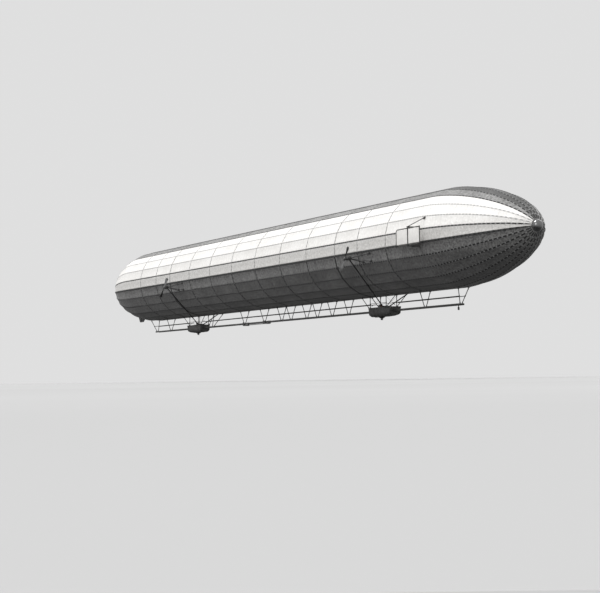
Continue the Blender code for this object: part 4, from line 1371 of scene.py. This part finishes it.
def stern_rudder():
    """Small dark blade on a pin under the stern, and its foot."""
    x0, x1 = SRUD_X - SRUD_LEN / 2.0, SRUD_X + SRUD_LEN / 2.0
    corners = [(x0, hull_floor(x0) - SRUD_TOP_GAP), (x1, hull_floor(x1) - SRUD_TOP_GAP),
               (x1 - SRUD_SLANT[1], SRUD_BOTTOM), (x0 + SRUD_SLANT[0], SRUD_BOTTOM)]
    bm = bmesh.new()
    middle = vec(SRUD_X, 0.0, sum(z for x, z in corners) / 4.0)
    line = []
    for (ax, az), (bx, bz) in zip(corners, corners[1:] + corners[:1]):
        for t in (0.04, 0.5, 0.96):
            p = vec(ax + (bx - ax) * t, 0.0, az + (bz - az) * t)
            line.append(p + (middle - p).normalized() * SRUD_BAR)
    hoop(bm, line, SRUD_BAR, 8)
    top = hull_floor(SRUD_X) - SRUD_PIN
    tube(bm, ((SRUD_X, 0.0, SRUD_BOTTOM - 0.05), (SRUD_X, 0.0, top - 0.01)), 0.065, 14)
    collar(bm, (SRUD_X, 0.0, top - 0.06), (0, 0, 1), 0.095, 0.10)
    piece("stern_rudder_pipes", bm, "strut_paint", "stern_rudder", body="stern_rudder")
    cloth = bmesh.new()
    rows = []
    nx, nz = SRUD_MESH
    for i in range(nx + 1):
        u = i / nx
        row = []
        for j in range(nz + 1):
            v = j / nz
            low_x = corners[3][0] + (corners[2][0] - corners[3][0]) * u
            high_x = corners[0][0] + (corners[1][0] - corners[0][0]) * u
            high_z = corners[0][1] + (corners[1][1] - corners[0][1]) * u
            p = vec(low_x + (high_x - low_x) * v, 0.0, SRUD_BOTTOM + (high_z - SRUD_BOTTOM) * v)
            p = middle + (p - middle) * 0.90
            p.y = 0.02 * sin(pi * u) * sin(pi * v)
            row.append(cloth.verts.new(p))
        rows.append(row)
    area = sum(face.calc_area() for face in quads(cloth, rows))
    ob = piece("stern_rudder_cloth", cloth, "stern_canvas", None, 60.0, "stern_rudder")
    thicken(ob, 0.03)
    foot = bmesh.new()
    slope = atan((hull_floor(SRUD_X + 0.2) - hull_floor(SRUD_X - 0.2)) / 0.4)
    turn = Matrix.Rotation(-slope, 3, "Y")
    block(foot, (SRUD_X, 0.0, hull_floor(SRUD_X) - 0.035), (0.52, 0.42, 0.055), 0.012, turn)
    base = vec(SRUD_X, 0.0, hull_floor(SRUD_X))
    turned(foot, [(0.0, 0.16), (0.05, 0.13), (0.08, 0.12)], base - vec(0, 0, 0.055), (0, 0, -1), 24)
    for i in BOTH:
        for j in BOTH:
            at = base - vec(0, 0, 0.035) + turn @ vec(0.20 * i, 0.16 * j, -0.028)
            bolt(foot, at, (0, 0, -1), 0.022)
    piece("stern_rudder_plate", foot, "strut_paint", "stern_rudder_foot")


# Weight and line block

def running_weight():
    """Two lead saddles that reach round the deck from below, on one bar."""
    under = DECK_Z - DECK_T - SLIDE_GAP
    over = DECK_Z + SLIDE_GAP
    inner = DECK_HALF + SLIDE_GAP
    x0, x1 = WEIGHT_X
    bar_z = under - 0.05
    bm = bmesh.new()
    metal = bmesh.new()
    for y in (-0.035, 0.035):
        block(metal, ((x0 + x1) / 2.0, y, bar_z), (x1 - x0, 0.05, 0.08), 0.010)
    for i in range(8):
        x = x0 + (x1 - x0) * (i + 0.5) / 8
        block(metal, (x, 0.0, bar_z), (0.10, 0.12, 0.05), 0.006)
    for x, length, depth in zip(WEIGHT_X, WEIGHT_LENGTH, WEIGHT_DEPTH):
        width = 2.0 * (inner + CHEEK)
        block(bm, (x, 0.0, under - depth / 2.0), (length - 0.01, width - 0.02, depth - 0.005), 0.025)
        height = over + LIP - under + 0.02
        for side in BOTH:
            y = side * (inner + CHEEK / 2.0)
            block(bm, (x, y, over + LIP - height / 2.0), (length - 0.02, CHEEK - 0.004, height), 0.010)
            reach = SLIDE_GAP + LIP + CHEEK / 2.0
            lip_y = side * (inner + CHEEK / 2.0 - reach / 2.0)
            block(metal, (x, lip_y, over + LIP / 2.0 - 0.002), (length - 0.04, reach, LIP - 0.006), 0.006)
            for step in BOTH:
                at = x + step * STRAP_DX * length
                strap_y = side * (inner + CHEEK - 0.001)
                strap = (at, strap_y, over + LIP - height / 2.0 - 0.02)
                block(metal, strap, (0.08, 0.012, height + 0.02), 0.003)
                for z in (over - 0.04, under - depth * 0.4):
                    bolt(metal, (at, strap_y + side * 0.006, z), (0, side, 0), 0.020)
        for step in BOTH:
            at = (x + step * STRAP_DX * length, 0.0, under - depth - 0.001)
            block(metal, at, (0.08, width, 0.012), 0.003)
    body = "running_weight"
    piece("weight_lead", bm, "lead", body, body=body)
    piece("weight_straps", metal, "strut_paint", body=body)


def line_block():
    """Pulley in two cheeks, hanging from the fore end of the walkway."""
    top = DECK_Z - DECK_T - 0.003
    x = BLOCK_X
    bm = bmesh.new()
    turned(bm, [(0.0, 0.055), (0.02, 0.060), (0.20, 0.045), (0.24, 0.055)], (x, 0.0, top), (0, 0, -1), 16)
    centre = vec(x, 0.0, top - 0.38)
    sheave = [(-0.050, 0.10), (-0.045, 0.15), (-0.028, 0.15), (-0.010, 0.11), (0.010, 0.11), (0.028, 0.15),
              (0.045, 0.15), (0.050, 0.10)]
    turned(bm, sheave, centre, (0, 1, 0), 36)
    for side in BOTH:
        block(bm, centre + vec(0.0, side * 0.065, 0.03), (0.16, 0.022, 0.36), 0.008)
        bolt(bm, centre + vec(0.0, side * 0.078, 0.0), (0, side, 0), 0.030)
    piece("line_pulley", bm, "strut_paint", "bow_line_block")


# Studio

def camera():
    """The picture's own view of the airship."""
    heading, pitch, roll = CAMERA_HEADING, CAMERA_PITCH, CAMERA_ROLL
    ahead = vec(cos(pitch) * cos(heading), cos(pitch) * sin(heading), sin(pitch))
    level = vec(sin(heading), -cos(heading), 0.0)
    above = level.cross(ahead)
    right = level * cos(roll) + above * sin(roll)
    up = above * cos(roll) - level * sin(roll)
    data = bpy.data.cameras.new("camera")
    data.lens = CAMERA_LENS
    data.sensor_width = CAMERA_FILM
    data.clip_start, data.clip_end = CAMERA_CLIP
    ob = bpy.data.objects.new("camera", data)
    ob.matrix_world = Matrix.Translation(CAMERA_AT) @ Matrix((right, up, -ahead)).transposed().to_4x4()
    bpy.context.scene.collection.objects.link(ob)
    bpy.context.scene.camera = ob


def floor():
    """Wide pale floor, just below the camera."""
    bm = bmesh.new()
    bmesh.ops.create_circle(bm, cap_ends=True, segments=160, radius=FLOOR_R)
    mesh = bpy.data.meshes.new("studio_floor")
    bm.to_mesh(mesh)
    bm.free()
    tree, shader, where = start_material("studio_floor", 0.9)
    tone = remap(tree, fractal(tree, where, 0.6, 3.0), 0.3, 0.7)
    finish_material(tree, shader, mix_colour(tree, tone, grey(0.41), grey(0.44)))
    mesh.materials.append(LOOKS["studio_floor"])
    ob = bpy.data.objects.new("studio_floor", mesh)
    ob.location.z = FLOOR_Z
    bpy.context.scene.collection.objects.link(ob)
    ob.visible_diffuse = False
    ob.visible_glossy = False


def light():
    """Soft key from starboard above, a low sun from ahead, a weak fill from port, and a pale dome."""
    suns = (("key", (0.0, -0.40, 1.0), 2.3, 14.0), ("low", (0.75, -0.6, 0.3), 0.6, 5.0),
            ("fill", (-0.5, 0.9, 0.9), 0.5, 40.0))
    for name, direction, strength, spread in suns:
        data = bpy.data.lights.new(name, "SUN")
        data.energy = strength
        data.angle = radians(spread)
        ob = bpy.data.objects.new(name, data)
        ob.rotation_euler = Vector(direction).to_track_quat("Z", "Y").to_euler()
        bpy.context.scene.collection.objects.link(ob)
    world = bpy.data.worlds.new("studio")
    world.use_nodes = True
    bpy.context.scene.world = world
    tree = world.node_tree
    way = node(tree, "ShaderNodeTexCoord").outputs["Generated"]
    height = node(tree, "ShaderNodeSeparateXYZ", {0: way}).outputs[2]
    share = remap(tree, height, -0.45, -0.06)
    tree.links.new(mix_colour(tree, share, grey(0.13), grey(0.74)), tree.nodes["Background"].inputs["Color"])
    view = bpy.context.scene.view_settings
    view.view_transform = "Standard"
    view.look = "None"


def main():
    camera()
    floor()
    light()
    make_materials()
    covers()
    long_tapes()
    ring_bands()
    join_lacing()
    end_cap("nose_cap", 1.0)
    end_cap("tail_cap", -1.0)
    walkways()
    for tag, end in SHIP_ENDS:
        car_shell(tag, end)
        car_trim(tag, end)
        car_inside(tag, end)
        engine(tag, end)
        hanger(tag, end)
        buffer(tag, end)
        for side_tag, side in SHIP_SIDES:
            where = tag + "_" + side_tag
            prop_bracket(where, end, side)
            propeller(where, end, side)
            drive_shaft(where, end, side)
    for side_tag, side in SHIP_SIDES:
        rudder_frame(side_tag, side)
        rudder(side_tag, side)
    stern_rudder()
    running_weight()
    line_block()


main()
